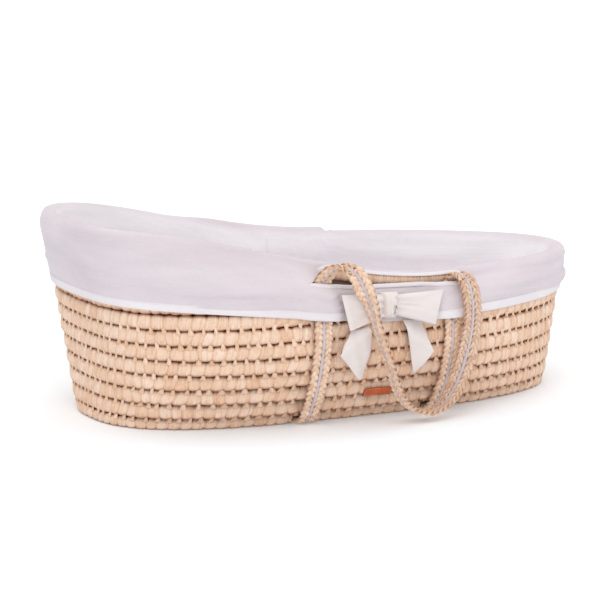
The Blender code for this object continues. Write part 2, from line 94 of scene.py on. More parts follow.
BRAID_RADIUS = 0.0046
BRAID_SPACING = 0.0078
CORD_RADIUS = 0.0028
SEWN_CORD_RADIUS = 0.0024
PIPING_RADIUS = 0.0017
STRAP_X = {"head": -0.111, "foot": 0.102}
CHANNEL_DEPTH = 0.0118
CLOTH = 0.0020
LINER_INSIDE = -0.0255
LINER_BOTTOM = MAT_THICKNESS + 0.003
LINER_FOOT = 0.034
PUFF_HEIGHT = 0.0078
SKIRT_OFFSET = 0.0045
SKIRT_OVER_STRAP = 0.0115
HEM_SNUG = 0.0018
SLOT_HEAD_END = -0.132
SLOT_FOOT_END = 0.144
SLOT_FLOOR = 0.2038
SLOT_FLOOR_SLOPE = -0.055
SLOT_BELOW_CREST = 0.0055
HEM_TAPE = 0.0110
HINGE_HEAD = {"front": (-0.0705, -0.2540, 0.2340), "back": (-0.0695, -0.2545, 0.2180)}
HINGE_FOOT = {"front": (0.1305, -0.2280, 0.2025), "back": (0.1305, -0.2280, 0.2000)}
BOW_HEIGHT = 0.172
RIBBON_THICKNESS = 0.0007
TAG_HALF_LENGTH, TAG_HALF_HEIGHT, TAG_CORNER = 0.0224, 0.0069, 0.0022

# How the leaf is wrapped and plaited.
WRAP_PITCH = 0.0178
STITCH_RISE = 0.0064
FINE_STEP = 0.0015
COARSE_STEP = 0.003
PLAIT_LENGTH = 0.0275
PLAIT_HALF_WIDTH = 0.0036
PLAIT_SWING = 0.0033
PLAIT_DEPTH = 0.0017
STRAND_HALF_THICKNESS = 0.0021


def mix(a, b, share):
    """From a, at share 0, to b, at share 1."""
    return a + (b - a) * share


def bell(x, middle, width):
    """1 at the middle, falling away on both sides."""
    return np.exp(-((x - middle) / width) ** 2)


def srgb(red, green, blue):
    """Linear colour from 0-255 display values."""
    c = np.array((red, green, blue)) / 255.0
    return np.where(c <= 0.04045, c / 12.92, ((c + 0.055) / 1.055) ** 2.4)


LEAF_PALE = srgb(250, 226, 209)
LEAF_WARM = srgb(235, 199, 171)
LEAF_TAN = srgb(222, 164, 122)
# Deep brown for the wrap seams and the grooves between rows: partly the leaf's own colour there, partly
# painted shade.
LEAF_DARK_AND_SHADE = srgb(138, 74, 38)
PLAIT_PALE = srgb(250, 228, 210)
PLAIT_TAN = srgb(222, 170, 134)
# Painted shade for the plaits: where a strand passes under the others, and in the crevices along its edges.
PLAIT_SHADE = srgb(130, 74, 46)
COTTON = srgb(219, 209, 213)
# Painted light: the liner's inside is the same cloth as the skirt, made lighter to stand in for light in the
# shaded interior.
COTTON_INSIDE_PAINTED_LIGHT = srgb(246, 243, 245)
COTTON_WHITE = srgb(233, 227, 229)
BOW_WHITE = srgb(233, 224, 220)
CORD_GREY = srgb(208, 198, 202)
LEATHER = srgb(196, 96, 44)
THREAD = srgb(240, 226, 206)


# ---- the basket's shape
def smooth(u):
    u = np.clip(u, 0.0, 1.0)
    return u * u * (3.0 - 2.0 * u)


def outline(angle, half_length, half_width, squareness):
    """Egg-shaped superellipse: x and y at an angle, head end at pi."""
    c, s = np.cos(angle), np.sin(angle)
    power = np.where(c < 0, 2.0 / squareness[0], 2.0 / squareness[1])
    x = half_length * np.sign(c) * np.abs(c) ** power
    y = half_width * (1.0 - EGG * c) * np.sign(s) * np.abs(s) ** power
    return np.stack([x, y], -1)


def rim_height(angle):
    u = outline(angle, 1.0, 1.0, RIM_SQUARENESS)[..., 0]
    head = HEAD_RISE * smooth((RISE_STARTS - u) / (1.0 + RISE_STARTS))
    return RIM_HEIGHT + head - FOOT_DROP * smooth((u - FOOT_STARTS) / (1.0 - FOOT_STARTS))


def hem_height(angle):
    u = outline(angle, 1.0, 1.0, RIM_SQUARENESS)[..., 0]
    return HEM_HEIGHT + HEM_HEAD_RISE * smooth((RISE_STARTS - u) / (1.0 + RISE_STARTS))


def wall_flat(angle, z):
    """Outer face of the wall at a height, as x and y."""
    t = np.asarray(z / rim_height(angle))[..., None]
    base = outline(angle, BASE_HALF_LENGTH, BASE_HALF_WIDTH, BASE_SQUARENESS)
    base = base + np.array((BASE_SHIFT, 0.0))
    rim = outline(angle, RIM_HALF_LENGTH, RIM_HALF_WIDTH, RIM_SQUARENESS)
    bulge = outline(angle, BULGE_LENGTH, BULGE_WIDTH, RIM_SQUARENESS)
    return base * (1.0 - t) + rim * t + bulge * 4.0 * t * (1.0 - t)


def outward(angle, z):
    """Level unit vector square to the wall."""
    along = wall_flat(angle + 0.004, z) - wall_flat(angle - 0.004, z)
    across = np.stack([along[..., 1], -along[..., 0]], -1)
    return across / np.linalg.norm(across, axis=-1, keepdims=True)


def with_z(flat, z):
    return np.concatenate([flat, np.broadcast_to(z, flat.shape[:-1])[..., None]], -1)


def outward_3d(angle, z):
    return with_z(outward(angle, z), 0.0)


def sideways(out):
    """Level directions along the wall, from those that point out of it."""
    return np.stack([-out[..., 1], out[..., 0], out[..., 2]], -1)


def wall_point(angle, z, offset=0.0):
    angle, z, offset = np.broadcast_arrays(angle, z, offset)
    flat = wall_flat(angle, z) + outward(angle, z) * offset[..., None]
    return with_z(flat, z)


def angle_at_x(x, z, side):
    """Angle where the wall on one long side (+1 back, -1 front) has the given x."""
    x, z = np.broadcast_arrays(np.asarray(x, float), z)
    low, high = np.full(x.shape, 0.02), np.full(x.shape, np.pi - 0.02)
    for _ in range(36):
        middle = (low + high) / 2.0
        beyond = wall_flat(middle, z)[..., 0] > x
        low, high = np.where(beyond, middle, low), np.where(beyond, high, middle)
    return side * (low + high) / 2.0


def fine_angles():
    """Angles close enough together everywhere, also where the superellipse runs fast."""
    found = []
    for squareness, start, turn in ((RIM_SQUARENESS[1], 0.0, 1.0), (RIM_SQUARENESS[0], np.pi, -1.0)):
        steps = np.linspace(0.0, 0.97, 700) ** (squareness / 2.0)
        for quarter in (np.arcsin(steps), np.arccos(steps)):
            found += [start + turn * quarter, start - turn * quarter]
    return np.unique(np.mod(np.concatenate(found), TURN))


FINE = fine_angles()


def distances(points):
    """Distance of each point from the first, along the line through them."""
    steps = np.linalg.norm(np.diff(points, axis=0), axis=-1)
    return np.concatenate([np.zeros_like(steps[:1]), np.cumsum(steps, axis=0)])


def even_angles(z, step):
    """Angles all round the wall at a height, evenly spaced along it, and their arc lengths."""
    fine = np.append(FINE, FINE[0] + TURN)
    length = distances(wall_flat(fine, z))
    count = int(round(length[-1] / step))
    wanted = np.linspace(0.0, length[-1], count, endpoint=False)
    return np.interp(wanted, length, fine), wanted, length[-1]


# ---- mesh helpers
def grid_faces(rows, columns, close_rows=False, close_columns=False, skip=None):
    j, i = np.meshgrid(
        np.arange(rows if close_rows else rows - 1),
        np.arange(columns if close_columns else columns - 1), indexing="ij")
    if skip is not None:
        j, i = j[~skip], i[~skip]
    j, i = j.ravel(), i.ravel()
    k, l = (j + 1) % rows, (i + 1) % columns
    return np.stack([j * columns + i, j * columns + l, k * columns + l, k * columns + i], -1)


def repeated(faces, count, corners):
    """The faces of one small shape, for count copies with so many corners each."""
    return (faces[None] + (np.arange(count) * corners)[:, None, None]).reshape(-1, faces.shape[1])


def pairs(a, b):
    """Two values at each point, each array spread over the other."""
    return np.stack(np.broadcast_arrays(a, b), -1)


def paint(mesh, tint):
    """A colour for each vertex."""
    tint = np.broadcast_to(np.asarray(tint, float).reshape(-1, 3), (len(mesh.vertices), 3))
    layer = mesh.color_attributes.get("tint") or mesh.color_attributes.new("tint", "FLOAT_COLOR", "POINT")
    layer.data.foreach_set("color", np.c_[tint, np.ones(len(tint))].astype(np.float32).ravel())


def lay_texture(mesh, uv):
    """Texture coordinates in metres, from one pair for each vertex."""
    index = np.empty(len(mesh.loops), np.int32)
    mesh.loops.foreach_get("vertex_index", index)
    layer = mesh.uv_layers.get("metres") or mesh.uv_layers.new(name="metres")
    layer.data.foreach_set("uv", np.asarray(uv, np.float32).reshape(-1, 2)[index].ravel())


def mesh_object(name, points, faces, look, tint, uv, is_smooth=True):
    """Mesh from arrays, with a colour for each vertex and texture coordinates in metres."""
    points = np.asarray(points, np.float32).reshape(-1, 3)
    faces = np.asarray(faces, np.int32)
    mesh = bpy.data.meshes.new(name)
    mesh.vertices.add(len(points))
    mesh.vertices.foreach_set("co", points.ravel())
    mesh.loops.add(faces.size)
    mesh.loops.foreach_set("vertex_index", faces.ravel())
    mesh.polygons.add(len(faces))
    mesh.polygons.foreach_set("loop_start", np.arange(0, faces.size, faces.shape[1], dtype=np.int32))
    mesh.polygons.foreach_set("use_smooth", np.full(len(faces), is_smooth))
    mesh.update(calc_edges=True)
    paint(mesh, tint)
    lay_texture(mesh, uv)
    mesh.validate()
    obj = bpy.data.objects.new(name, mesh)
    bpy.context.scene.collection.objects.link(obj)
    obj.data.materials.append(look)
    return obj


@contextlib.contextmanager
def edited(obj):
    """The mesh as an editable one, written back at the end."""
    bm = bmesh.new()
    bm.from_mesh(obj.data)
    yield bm
    bm.to_mesh(obj.data)
    bm.free()


def face_outward(obj):
    with edited(obj) as bm:
        bmesh.ops.recalc_face_normals(bm, faces=bm.faces)


def unit(v):
    return v / np.maximum(np.linalg.norm(v, axis=-1, keepdims=True), 1e-12)


def smooth_pieces(points):
    """Smooth curve through points, or through rows of them, as a function of gap and share of it."""
    gaps = np.linalg.norm(np.diff(points, axis=0), axis=-1, keepdims=True)
    slopes = np.diff(points, axis=0) / gaps
    inner = (slopes[:-1] * gaps[1:] + slopes[1:] * gaps[:-1]) / (gaps[:-1] + gaps[1:])
    tangents = np.concatenate([slopes[:1], inner, slopes[-1:]])

    def piece(i, t):
        return ((2 * t**3 - 3 * t**2 + 1) * points[i] + (t**3 - 2 * t**2 + t) * (tangents[i] * gaps[i])
                + (3 * t**2 - 2 * t**3) * points[i + 1] + (t**3 - t**2) * (tangents[i + 1] * gaps[i]))

    return piece


def through(points, step):
    """Smooth line through points, evenly spaced. Also gives each point's place among them."""
    piece = smooth_pieces(points)
    t = np.linspace(0.0, 1.0, 40, endpoint=False)[:, None]
    out = np.vstack([piece(i, t) for i in range(len(points) - 1)] + [points[-1:]])
    index = np.append(np.arange(len(points) - 1)[:, None] + t[:, 0], len(points) - 1.0)
    length = distances(out)
    wanted = np.linspace(0.0, length[-1], int(round(length[-1] / step)) + 1)
    line = np.stack([np.interp(wanted, length, out[:, k]) for k in range(3)], -1)
    return line, np.interp(wanted, length, index), wanted




def wavy(place, seed, terms, scale):
    """Smooth repeatable noise about -1 to 1 along a length."""
    rng = np.random.default_rng(seed)
    total = 0.0
    for _ in range(terms):
        total = total + np.sin(TURN * (place / (scale * rng.uniform(0.6, 1.7)) + rng.uniform()))
    return total / terms**0.5


# ---- materials
class Nodes:
    """Small helper to wire a material's nodes."""

    def __init__(self, name):
        self.material = bpy.data.materials.new(name)
        self.material.use_nodes = True
        self.tree = self.material.node_tree
        self.shader = self.tree.nodes["Principled BSDF"]

    def set(self, **values):
        for name, value in values.items():
            self.shader.inputs[name.replace("_", " ")].default_value = value

    def add(self, kind, **values):
        node = self.tree.nodes.new("ShaderNode" + kind)
        for name, value in values.items():
            if name in node.inputs:
                node.inputs[name].default_value = value
            else:
                setattr(node, name, value)
        return node

    def tint(self):
        return self.add("VertexColor", layer_name="tint").outputs["Color"]

    def join(self, source, target):
        self.tree.links.new(source, target)

    def noise(self, scale, detail=3.0, roughness=0.55, metres=True):
        """Noise stretched by scale, in turns per metre along each texture direction."""
        mapping = self.add("Mapping", Scale=(*scale, 1.0) if metres else scale)
        if metres:
            self.join(self.add("UVMap", uv_map="metres").outputs["UV"], mapping.inputs["Vector"])
        else:
            self.join(self.add("TexCoord").outputs["Object"], mapping.inputs["Vector"])
        noise = self.add("TexNoise", Scale=1.0, Detail=detail, Roughness=roughness)
        self.join(mapping.outputs["Vector"], noise.inputs["Vector"])
        return noise.outputs["Fac"]

    def ramp(self, source, low, high, low_at=0.3, high_at=0.7):
        node = self.add("ValToRGB")
        node.color_ramp.elements[0].position = low_at
        node.color_ramp.elements[0].color = (*low, 1.0)
        node.color_ramp.elements[1].position = high_at
        node.color_ramp.elements[1].color = (*high, 1.0)
        self.join(source, node.inputs["Fac"])
        return node.outputs["Color"]

    def multiply(self, a, b):
        node = self.add("Mix", data_type="RGBA", blend_type="MULTIPLY")
        node.inputs["Factor"].default_value = 1.0
        self.join(a, node.inputs[6])
        self.join(b, node.inputs[7])
        return node.outputs[2]

    def bump(self, height, strength, distance):
        node = self.add("Bump", Strength=strength, Distance=distance)
        self.join(height, node.inputs["Height"])
        before = [link.from_socket for link in self.shader.inputs["Normal"].links]
        if before:
            self.join(before[0], node.inputs["Normal"])
        self.join(node.outputs["Normal"], self.shader.inputs["Normal"])

    def rough(self, source, low, high):
        node = self.add("MapRange")
        node.inputs["To Min"].default_value = low
        node.inputs["To Max"].default_value = high
        self.join(source, node.inputs["Value"])
        self.join(node.outputs["Result"], self.shader.inputs["Roughness"])


def leaf_material(name, fibres, patches, strength):
    """Dried palm leaf: painted tint, fine fibres along the leaf and soft patches."""
    n = Nodes(name)
    n.set(Specular_IOR_Level=0.28)
    fibre = n.noise(fibres, detail=4.0, roughness=0.65)
    patch = n.noise(patches, detail=2.0)
    fibre_colour = n.ramp(fibre, (0.80, 0.75, 0.68), (1.06, 1.05, 1.04), 0.32, 0.62)
    patch_colour = n.ramp(patch, (0.93, 0.89, 0.83), (1.03, 1.03, 1.03), 0.36, 0.64)
    n.join(n.multiply(n.multiply(n.tint(), fibre_colour), patch_colour), n.shader.inputs["Base Color"])
    n.rough(patch, 0.48, 0.72)
    n.bump(fibre, strength, 0.0006)
    return n.material


def cotton_material(name, threads=(1500.0, 1500.0), slubs=0.35, creases=0.0):
    """Plain-woven cotton: crossing threads, level streaks that are partly the cloth's uneven tone and partly
    painted shade of soft folds, a faint soft sheen and, if asked, level creases.
    """
    n = Nodes(name)
    n.set(Specular_IOR_Level=0.12, Sheen_Weight=0.12, Sheen_Roughness=0.5, Roughness=0.92)
    across = n.noise((threads[0], threads[1] * 0.06), detail=2.0)
    along = n.noise((threads[0] * 0.06, threads[1]), detail=2.0)
    weave = n.add("Math", operation="ADD")
    n.join(across, weave.inputs[0])
    n.join(along, weave.inputs[1])
    # Level streaks in the colour: partly the cloth's uneven tone, partly painted shade of soft folds.
    cloud = n.ramp(n.noise((7.0, 26.0), detail=4.0), (0.92, 0.91, 0.92), (1.035, 1.035, 1.035))
    thread = n.ramp(weave.outputs[0], (0.965, 0.96, 0.965), (1.01, 1.01, 1.01), 0.75, 1.0)
    n.join(n.multiply(n.multiply(n.tint(), cloud), thread), n.shader.inputs["Base Color"])
    n.bump(weave.outputs[0], slubs, 0.0003)
    if creases:
        n.bump(n.noise((4.0, 42.0), detail=3.0), 0.6, creases)
    return n.material


def leather_material():
    n = Nodes("tag_leather")
    n.set(Specular_IOR_Level=0.4)
    grain = n.add("TexVoronoi", Scale=1400.0)
    n.join(n.add("TexCoord").outputs["Object"], grain.inputs["Vector"])
    cloud = n.noise((60.0, 60.0, 60.0), metres=False)
    mottle = n.ramp(cloud, (0.78, 0.72, 0.66), (1.12, 1.10, 1.08))
    n.join(n.multiply(n.tint(), mottle), n.shader.inputs["Base Color"])
    n.rough(cloud, 0.42, 0.62)
    n.bump(grain.outputs["Distance"], 0.35, 0.0003)
    return n.material


def floor_material():
    n = Nodes("floor")
    n.set(Roughness=0.9, Specular_IOR_Level=0.1, Emission_Color=(1.0, 1.0, 1.0, 1.0),
          Emission_Strength=0.14)
    cloud = n.noise((0.7, 0.7, 0.7), metres=False)
    n.join(n.ramp(cloud, (0.86, 0.90, 0.93), (0.88, 0.92, 0.95)), n.shader.inputs["Base Color"])
    return n.material


LOOK = {
    "coil": leaf_material("palm_coil_leaf", (1100.0, 45.0), (70.0, 50.0), 0.55),
    "roll": leaf_material("palm_roll_leaf", (1300.0, 60.0), (90.0, 60.0), 0.5),
    "plait": leaf_material("palm_plait_leaf", (60.0, 1500.0), (130.0, 200.0), 0.5),
    "stitch": leaf_material("palm_stitch_leaf", (1500.0, 60.0), (120.0, 60.0), 0.4),
    "cotton": cotton_material("cotton_cloth", creases=0.0035),
    "trim": cotton_material("cotton_trim_cloth", threads=(1800.0, 1800.0), slubs=0.25),
    "cord": cotton_material("piping_cord_cloth", threads=(2500.0, 1200.0), slubs=0.6),
    "mattress": cotton_material("mattress_cloth", threads=(1300.0, 1300.0), slubs=0.4),
    "thread": cotton_material("sewing_thread", threads=(4000.0, 4000.0)),
    "leather": leather_material(),
}


# ---- wrapped coils
def coil_section(half_thick, half_high, count):
    """Evenly spaced points and normals round a coil's cross-section, first point outermost."""
    squareness = 3.0
    turn = np.linspace(0.0, TURN, 1600)
    c, s = np.cos(turn), np.sin(turn)
    x = half_thick * np.sign(c) * np.abs(c) ** (2.0 / squareness)
    y = half_high * np.sign(s) * np.abs(s) ** (2.0 / squareness)
    length = np.r_[0.0, np.cumsum(np.hypot(np.diff(x), np.diff(y)))]
    wanted = np.linspace(0.0, length[-1], count, endpoint=False)
    x, y = np.interp(wanted, length, x), np.interp(wanted, length, y)
    nx = np.sign(x) * np.abs(x / half_thick) ** (squareness - 1.0) / half_thick
    ny = np.sign(y) * np.abs(y / half_high) ** (squareness - 1.0) / half_high
    norm = np.hypot(nx, ny)
    return x, y, nx / norm, ny / norm, wanted


def wrap_edges(length, pitch, rng):
    """Where each strip of leaf overlaps the one before it, along a coil."""
    count = max(3, int(round(length / pitch)))
    widths = rng.uniform(0.80, 1.22, count)
    return np.r_[0.0, np.cumsum(widths)] * length / widths.sum()


def coil(name, centre, out, place, length, half_thick, half_high, seed, pitch=WRAP_PITCH,
         around=18, closed=True, swell=0.0008, lap=0.0006, slant=0.0017, look="coil", floor=None):
    """Bundle of leaf wrapped in overlapping strips, along a centre line."""
    rng = np.random.default_rng(seed)
    x, y, nx, ny, girth = coil_section(half_thick, half_high, around)
    edges = wrap_edges(length, pitch, rng)
    count = len(edges) - 1
    lean = slant * (1.0 + 1.3 * wavy(place, seed + 1, 4, 0.11))
    level = y / half_high
    bowed = 0.35 * (1.0 - level**2)
    local = place[:, None] - lean[:, None] * (level + bowed)[None, :]
    local = np.mod(local, length) if closed else np.clip(local, 0.0, length * 0.99999)
    index = np.clip(np.searchsorted(edges, local, "right") - 1, 0, count - 1)
    u = (local - edges[index]) / (edges[index + 1] - edges[index])
    plump = rng.uniform(0.6, 1.35, count)[index]
    pillow = 1.0 - np.abs(2.0 * u - 1.0) ** 2.4
    rise = swell * plump * (pillow - 0.35) + lap * (0.5 - u)
    from_edge = np.minimum(u, 1.0 - u)
    pinch = bell(from_edge, 0.0, 0.16) * smooth((np.abs(level) - 0.35) / 0.5)
    rise = rise - swell * 1.5 * pinch
    rise += 0.0004 * wavy(place, seed + 2, 5, 0.05)[:, None]
    points = centre[:, None, :] + out[:, None, :] * (x + nx * rise)[..., None]
    points[..., 2] += y + ny * rise
    if floor is not None:
        points[..., 2] = np.maximum(points[..., 2], floor(points[..., 0]))

    tone = rng.uniform(0.0, 1.0, count)[index]
    warmth = rng.uniform(0.0, 1.0, count)[index]
    tint = mix(LEAF_PALE, LEAF_WARM, (tone * 0.65)[..., None])
    tan = smooth((warmth - 0.80) / 0.20) * 0.22 + 0.42 * smooth((np.abs(u - 0.5) - 0.38) / 0.12)
    for _ in range(3):
        split = bell(u, rng.uniform(0.1, 0.9, count)[index], 0.035)
        tan = tan + 0.36 * split * (rng.uniform(0.0, 1.0, count)[index] > 0.40)
    # Painted shade: the lower half of each row is made tanner, because its underside is turned away from the
    # light above.
    tan = np.clip(tan + 0.20 * smooth((-level - 0.1) / 0.8)[None, :], 0.0, 1.0)
    tint = mix(tint, LEAF_TAN, tan[..., None])
    # Wrap seams are darkened as joints. The grooves at the top and bottom of each row are mixed to deep
    # brown: partly the leaf's darker colour there, partly painted shade between the rows.
    seam = bell(from_edge, 0.0, 0.040) * (0.10 + 0.36 * smooth((np.abs(level) - 0.3) / 0.5))
    groove = smooth((np.abs(level) - 0.76) / 0.22)[None, :] * 0.93
    joints_and_shade = 1.0 - (1.0 - seam) * (1.0 - groove)
    tint = mix(tint, LEAF_DARK_AND_SHADE, joints_and_shade[..., None])

    along = place
    if closed:
        along = np.append(place, length)
        points = np.concatenate([points, points[:1]])
        tint = np.concatenate([tint, tint[:1]])
    faces = grid_faces(len(along), around, close_columns=True)
    obj = mesh_object(name, points, faces, LOOK[look], tint, pairs(along[:, None], girth))
    bottom_edges = edges[:-1] - np.interp(edges[:-1], place, lean)
    return obj, np.mod(bottom_edges, length)


def row_middle(index):
    return MAT_THICKNESS + GAP + ROW_PITCH * (index + 0.5)


def stitches(name, places, angles, lengths, middle, seed):
    """Leaf strips that lash a row to the one below, across the groove between them."""
    rng = np.random.default_rng(seed)
    count = len(places)
    rows, columns = 9, 5
    down = np.linspace(0.0, 1.0, rows)
    side = np.linspace(-1.0, 1.0, columns)
    where = np.interp(places, lengths, angles)
    half = rng.uniform(0.0023, 0.0037, count)[:, None, None]
    flare = 1.0 + 1.1 * np.abs(2.0 * down - 1.0) ** 1.5
    top = middle + rng.uniform(-0.0008, 0.0012, count)
    tall = rng.uniform(0.0118, 0.0150, count)
    z = top[:, None] - tall[:, None] * down[None, :]
    sunk = -0.0016 * np.sin(np.pi * down) ** 2 + 0.0003
    sunk = sunk - 0.0011 * (np.abs(2.0 * down - 1.0) > 0.9)
    a = np.broadcast_to(where[:, None], z.shape)
    spot = wall_point(a, z, sunk)
    out = outward_3d(a, z)
    tangent = sideways(out)
    lean = rng.normal(0.0, 0.0012, count)[:, None] * (down - 0.5)[None, :]
    points = spot[:, :, None, :] + tangent[:, :, None, :] * (
        half * flare[None, :, None] * side[None, None, :] + lean[:, :, None])[..., None]
    points = points - out[:, :, None, :] * (0.0013 * side**2)[None, None, :, None]
    tone = rng.uniform(0.0, 1.0, count)[:, None, None, None]
    tint = LEAF_PALE + (LEAF_WARM - LEAF_PALE) * tone * 0.9
    edge = (np.abs(side) ** 3 * 0.45)[None, None, :, None]
    low_end = (0.30 * smooth((down - 0.5) / 0.5))[None, :, None, None]
    tint = np.broadcast_to(mix(tint, LEAF_TAN, np.clip(edge + low_end, 0.0, 1.0)), points.shape)
    faces = repeated(grid_faces(rows, columns), count, rows * columns)
    uv = pairs(side * half + 0.1 * np.arange(count)[:, None, None], (down * tall[:, None])[..., None])
    return mesh_object(name, points, faces, LOOK["stitch"], tint, uv)


def wall_coil(name, ring, z, inset, half_thick, half_high, seed, node, slot="palm_coil", **wraps):
    """Wrapped coil inside the wall's outer face. Gives where stitches can hold it to the row below."""
    angles, place, length = ring
    obj, ends = coil(name, wall_point(angles, z, -inset), outward_3d(angles, z), place, length,
                     half_thick, half_high, seed, **wraps)
    keep(obj, "basket", slot, node)
    return ends


def make_wall():
    """Wall rows with the leaf stitches between them, the short head rows and the rim roll."""
    half_thick, half_high = ROW_THICKNESS / 2.0, ROW_PITCH / 2.0 - SLIVER
    for index in range(FULL_ROWS):
        z, number = row_middle(index), f"{index + 1:02d}"
        ring = even_angles(z, FINE_STEP)
        ends = wall_coil(f"coil_{number}", ring, z, half_thick, half_thick + 0.0003, half_high,
                         100 + index, f"wall_coil_{number}")
        groove = z - ROW_PITCH / 2.0
        obj = stitches(f"coil_stitches_{number}", ends, *ring[:2], groove + STITCH_RISE, 300 + index)
        keep(obj, "basket", "palm_coil")
    for index in range(HEAD_ROWS):
        z = row_middle(FULL_ROWS + index)
        angles, place, _ = even_angles(z, COARSE_STEP)
        inside = rim_height(angles) > z + ROW_PITCH / 2.0 + 2.0 * ROLL_HALF_HEIGHT + 0.006
        angles, place = angles[inside], place[inside] - place[inside][0]
        wall_coil(f"coil_head_{index + 1}", (angles, place, place[-1]), z, half_thick, half_thick, half_high,
                  130 + FULL_ROWS + index, f"head_coil_{index + 1}", around=12, closed=False)
    ring = even_angles(RIM_HEIGHT, 0.0014)
    wall_coil("rim_roll_wrapped", ring, rim_height(ring[0]) - ROLL_DROP, ROLL_HALF_WIDTH, ROLL_HALF_WIDTH,
              ROLL_HALF_HEIGHT, 170, "rim_roll", slot="palm_roll", pitch=0.0062, around=16,
              swell=0.00035, lap=0.0003, slant=0.0012, look="roll")


def over_channel(x):
    """Lowest height of the base: its rings lift over the two straps that pass below."""
    from_strap = np.minimum(*(np.abs(x - middle) for middle in STRAP_X.values()))
    lift = smooth((0.0185 - from_strap) / 0.0035)
    return SLIVER + lift * (CHANNEL_DEPTH + SLIVER)


def make_base():
    """Coiled oval base: the lowest wrapped row, then rings inside it down to a straight core."""
    half_high = MAT_MIDDLE - SLIVER
    wall_coil("base_edge", even_angles(MAT_MIDDLE, FINE_STEP), MAT_MIDDLE, BASE_EDGE_INSET, 0.0083,
              half_high, 60, "base_mat", floor=over_channel)
    fine = np.append(FINE, FINE[0] + TURN)
    for ring in range(1, BASE_RINGS + 1):
        inwards = BASE_EDGE_INSET + ring * BASE_RING_PITCH
        flat = outline(fine, BASE_HALF_LENGTH - inwards, BASE_HALF_WIDTH - inwards, BASE_SQUARENESS)
        flat = flat + np.array((BASE_SHIFT, 0.0))
        arc = distances(flat)
        wanted = np.linspace(0.0, arc[-1], int(arc[-1] / COARSE_STEP), endpoint=False)
        flat = np.stack([np.interp(wanted, arc, flat[:, k]) for k in range(2)], -1)
        along = np.roll(flat, -1, 0) - np.roll(flat, 1, 0)
        out = with_z(unit(np.stack([along[:, 1], -along[:, 0]], -1)), 0.0)
        obj, _ = coil(f"base_ring_{ring}", with_z(flat, MAT_MIDDLE), out, wanted, arc[-1], 0.0090,
                      half_high, 60 + ring, around=12, floor=over_channel)
        keep(obj, "basket", "palm_coil")
    half = BASE_HALF_LENGTH - BASE_EDGE_INSET - (BASE_RINGS + 0.5) * BASE_RING_PITCH
    place = np.arange(0.0, 2.0 * half, COARSE_STEP)
    line = np.stack([place - half + BASE_SHIFT, 0.0 * place, np.full_like(place, MAT_MIDDLE)], -1)
    out = np.broadcast_to(np.array((0.0, -1.0, 0.0)), line.shape)
    obj, _ = coil("base_core", line, out, place, place[-1], 0.0130, half_high, 75, around=12,
                  closed=False, floor=over_channel)
    keep(obj, "basket", "palm_coil")


def keep(obj, body, slot, *nodes):
    """A finished piece: it rides on a body and stands for nodes; the slot is not used."""
    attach(obj, body)
    if nodes:
        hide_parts(*nodes)


# ---- plaits and cords
def end_caps(rings, around):
    """Faces that close the two ends of a tube."""
    quads = np.array([(0, k, k + 1, k + 2) for k in range(1, around - 2, 2)])
    return [quads, quads + (rings - 1) * around]


def plait(name, line, across, normal, place, seed):
    """Three flat leaf strands plaited along a line."""
    around = 10
    turn = np.linspace(0.0, TURN, around, endpoint=False)
    points, tints, uvs, faces = [], [], [], []
    for strand in range(3):
        phase = TURN * (place / PLAIT_LENGTH + strand / 3.0) + 0.7 * wavy(place, seed, 3, 0.16)
        swing = PLAIT_SWING * (1.0 + 0.13 * wavy(place, seed + 5, 3, 0.05))
        middle = (line + across * (swing * np.sin(phase))[:, None]
                  + normal * (PLAIT_DEPTH * np.sin(2.0 * phase))[:, None])
        along = unit(np.gradient(middle, axis=0))
        face = unit(normal - along * np.sum(normal * along, -1, keepdims=True))
        side = np.cross(along, face)
        wide = PLAIT_HALF_WIDTH * (1.0 + 0.14 * wavy(place, seed + 11 * strand, 4, 0.022))
        thick = STRAND_HALF_THICKNESS * (1.0 + 0.20 * wavy(place, seed + 13 * strand, 4, 0.018))
        c = np.sign(np.cos(turn)) * np.abs(np.cos(turn)) ** 0.8
        s = np.sin(turn)
        points.append(middle[:, None] + side[:, None] * (wide[:, None] * c)[..., None]
                      + face[:, None] * (thick[:, None] * s)[..., None])
        patch = 0.5 + 0.5 * np.clip(wavy(place, seed + 17 * strand, 5, 0.02), -1, 1)
        # Painted shade: each strand is made deeper in colour where it dips under the others and along its
        # edges, in the crevices between strands.
        under = smooth((0.2 - np.sin(2.0 * phase)) / 1.1)
        edge = np.abs(c) ** 4
        tan = np.clip(0.10 + 0.42 * patch[:, None] ** 2 + 0.25 * edge, 0.0, 1.0)
        tint = mix(PLAIT_PALE, PLAIT_TAN, tan[..., None])
        joints_and_shade = np.clip(0.50 * under[:, None] * (0.35 + edge) + 0.20 * edge, 0.0, 0.85)
        tints.append(mix(tint, PLAIT_SHADE, joints_and_shade[..., None]))
        uvs.append(pairs(place[:, None] + strand, turn * 0.0026))
        tube = [grid_faces(len(place), around, close_columns=True), *end_caps(len(place), around)]
        faces += [part + strand * len(place) * around for part in tube]
    return mesh_object(name, points, np.concatenate(faces), LOOK["plait"], np.array(tints), np.array(uvs))


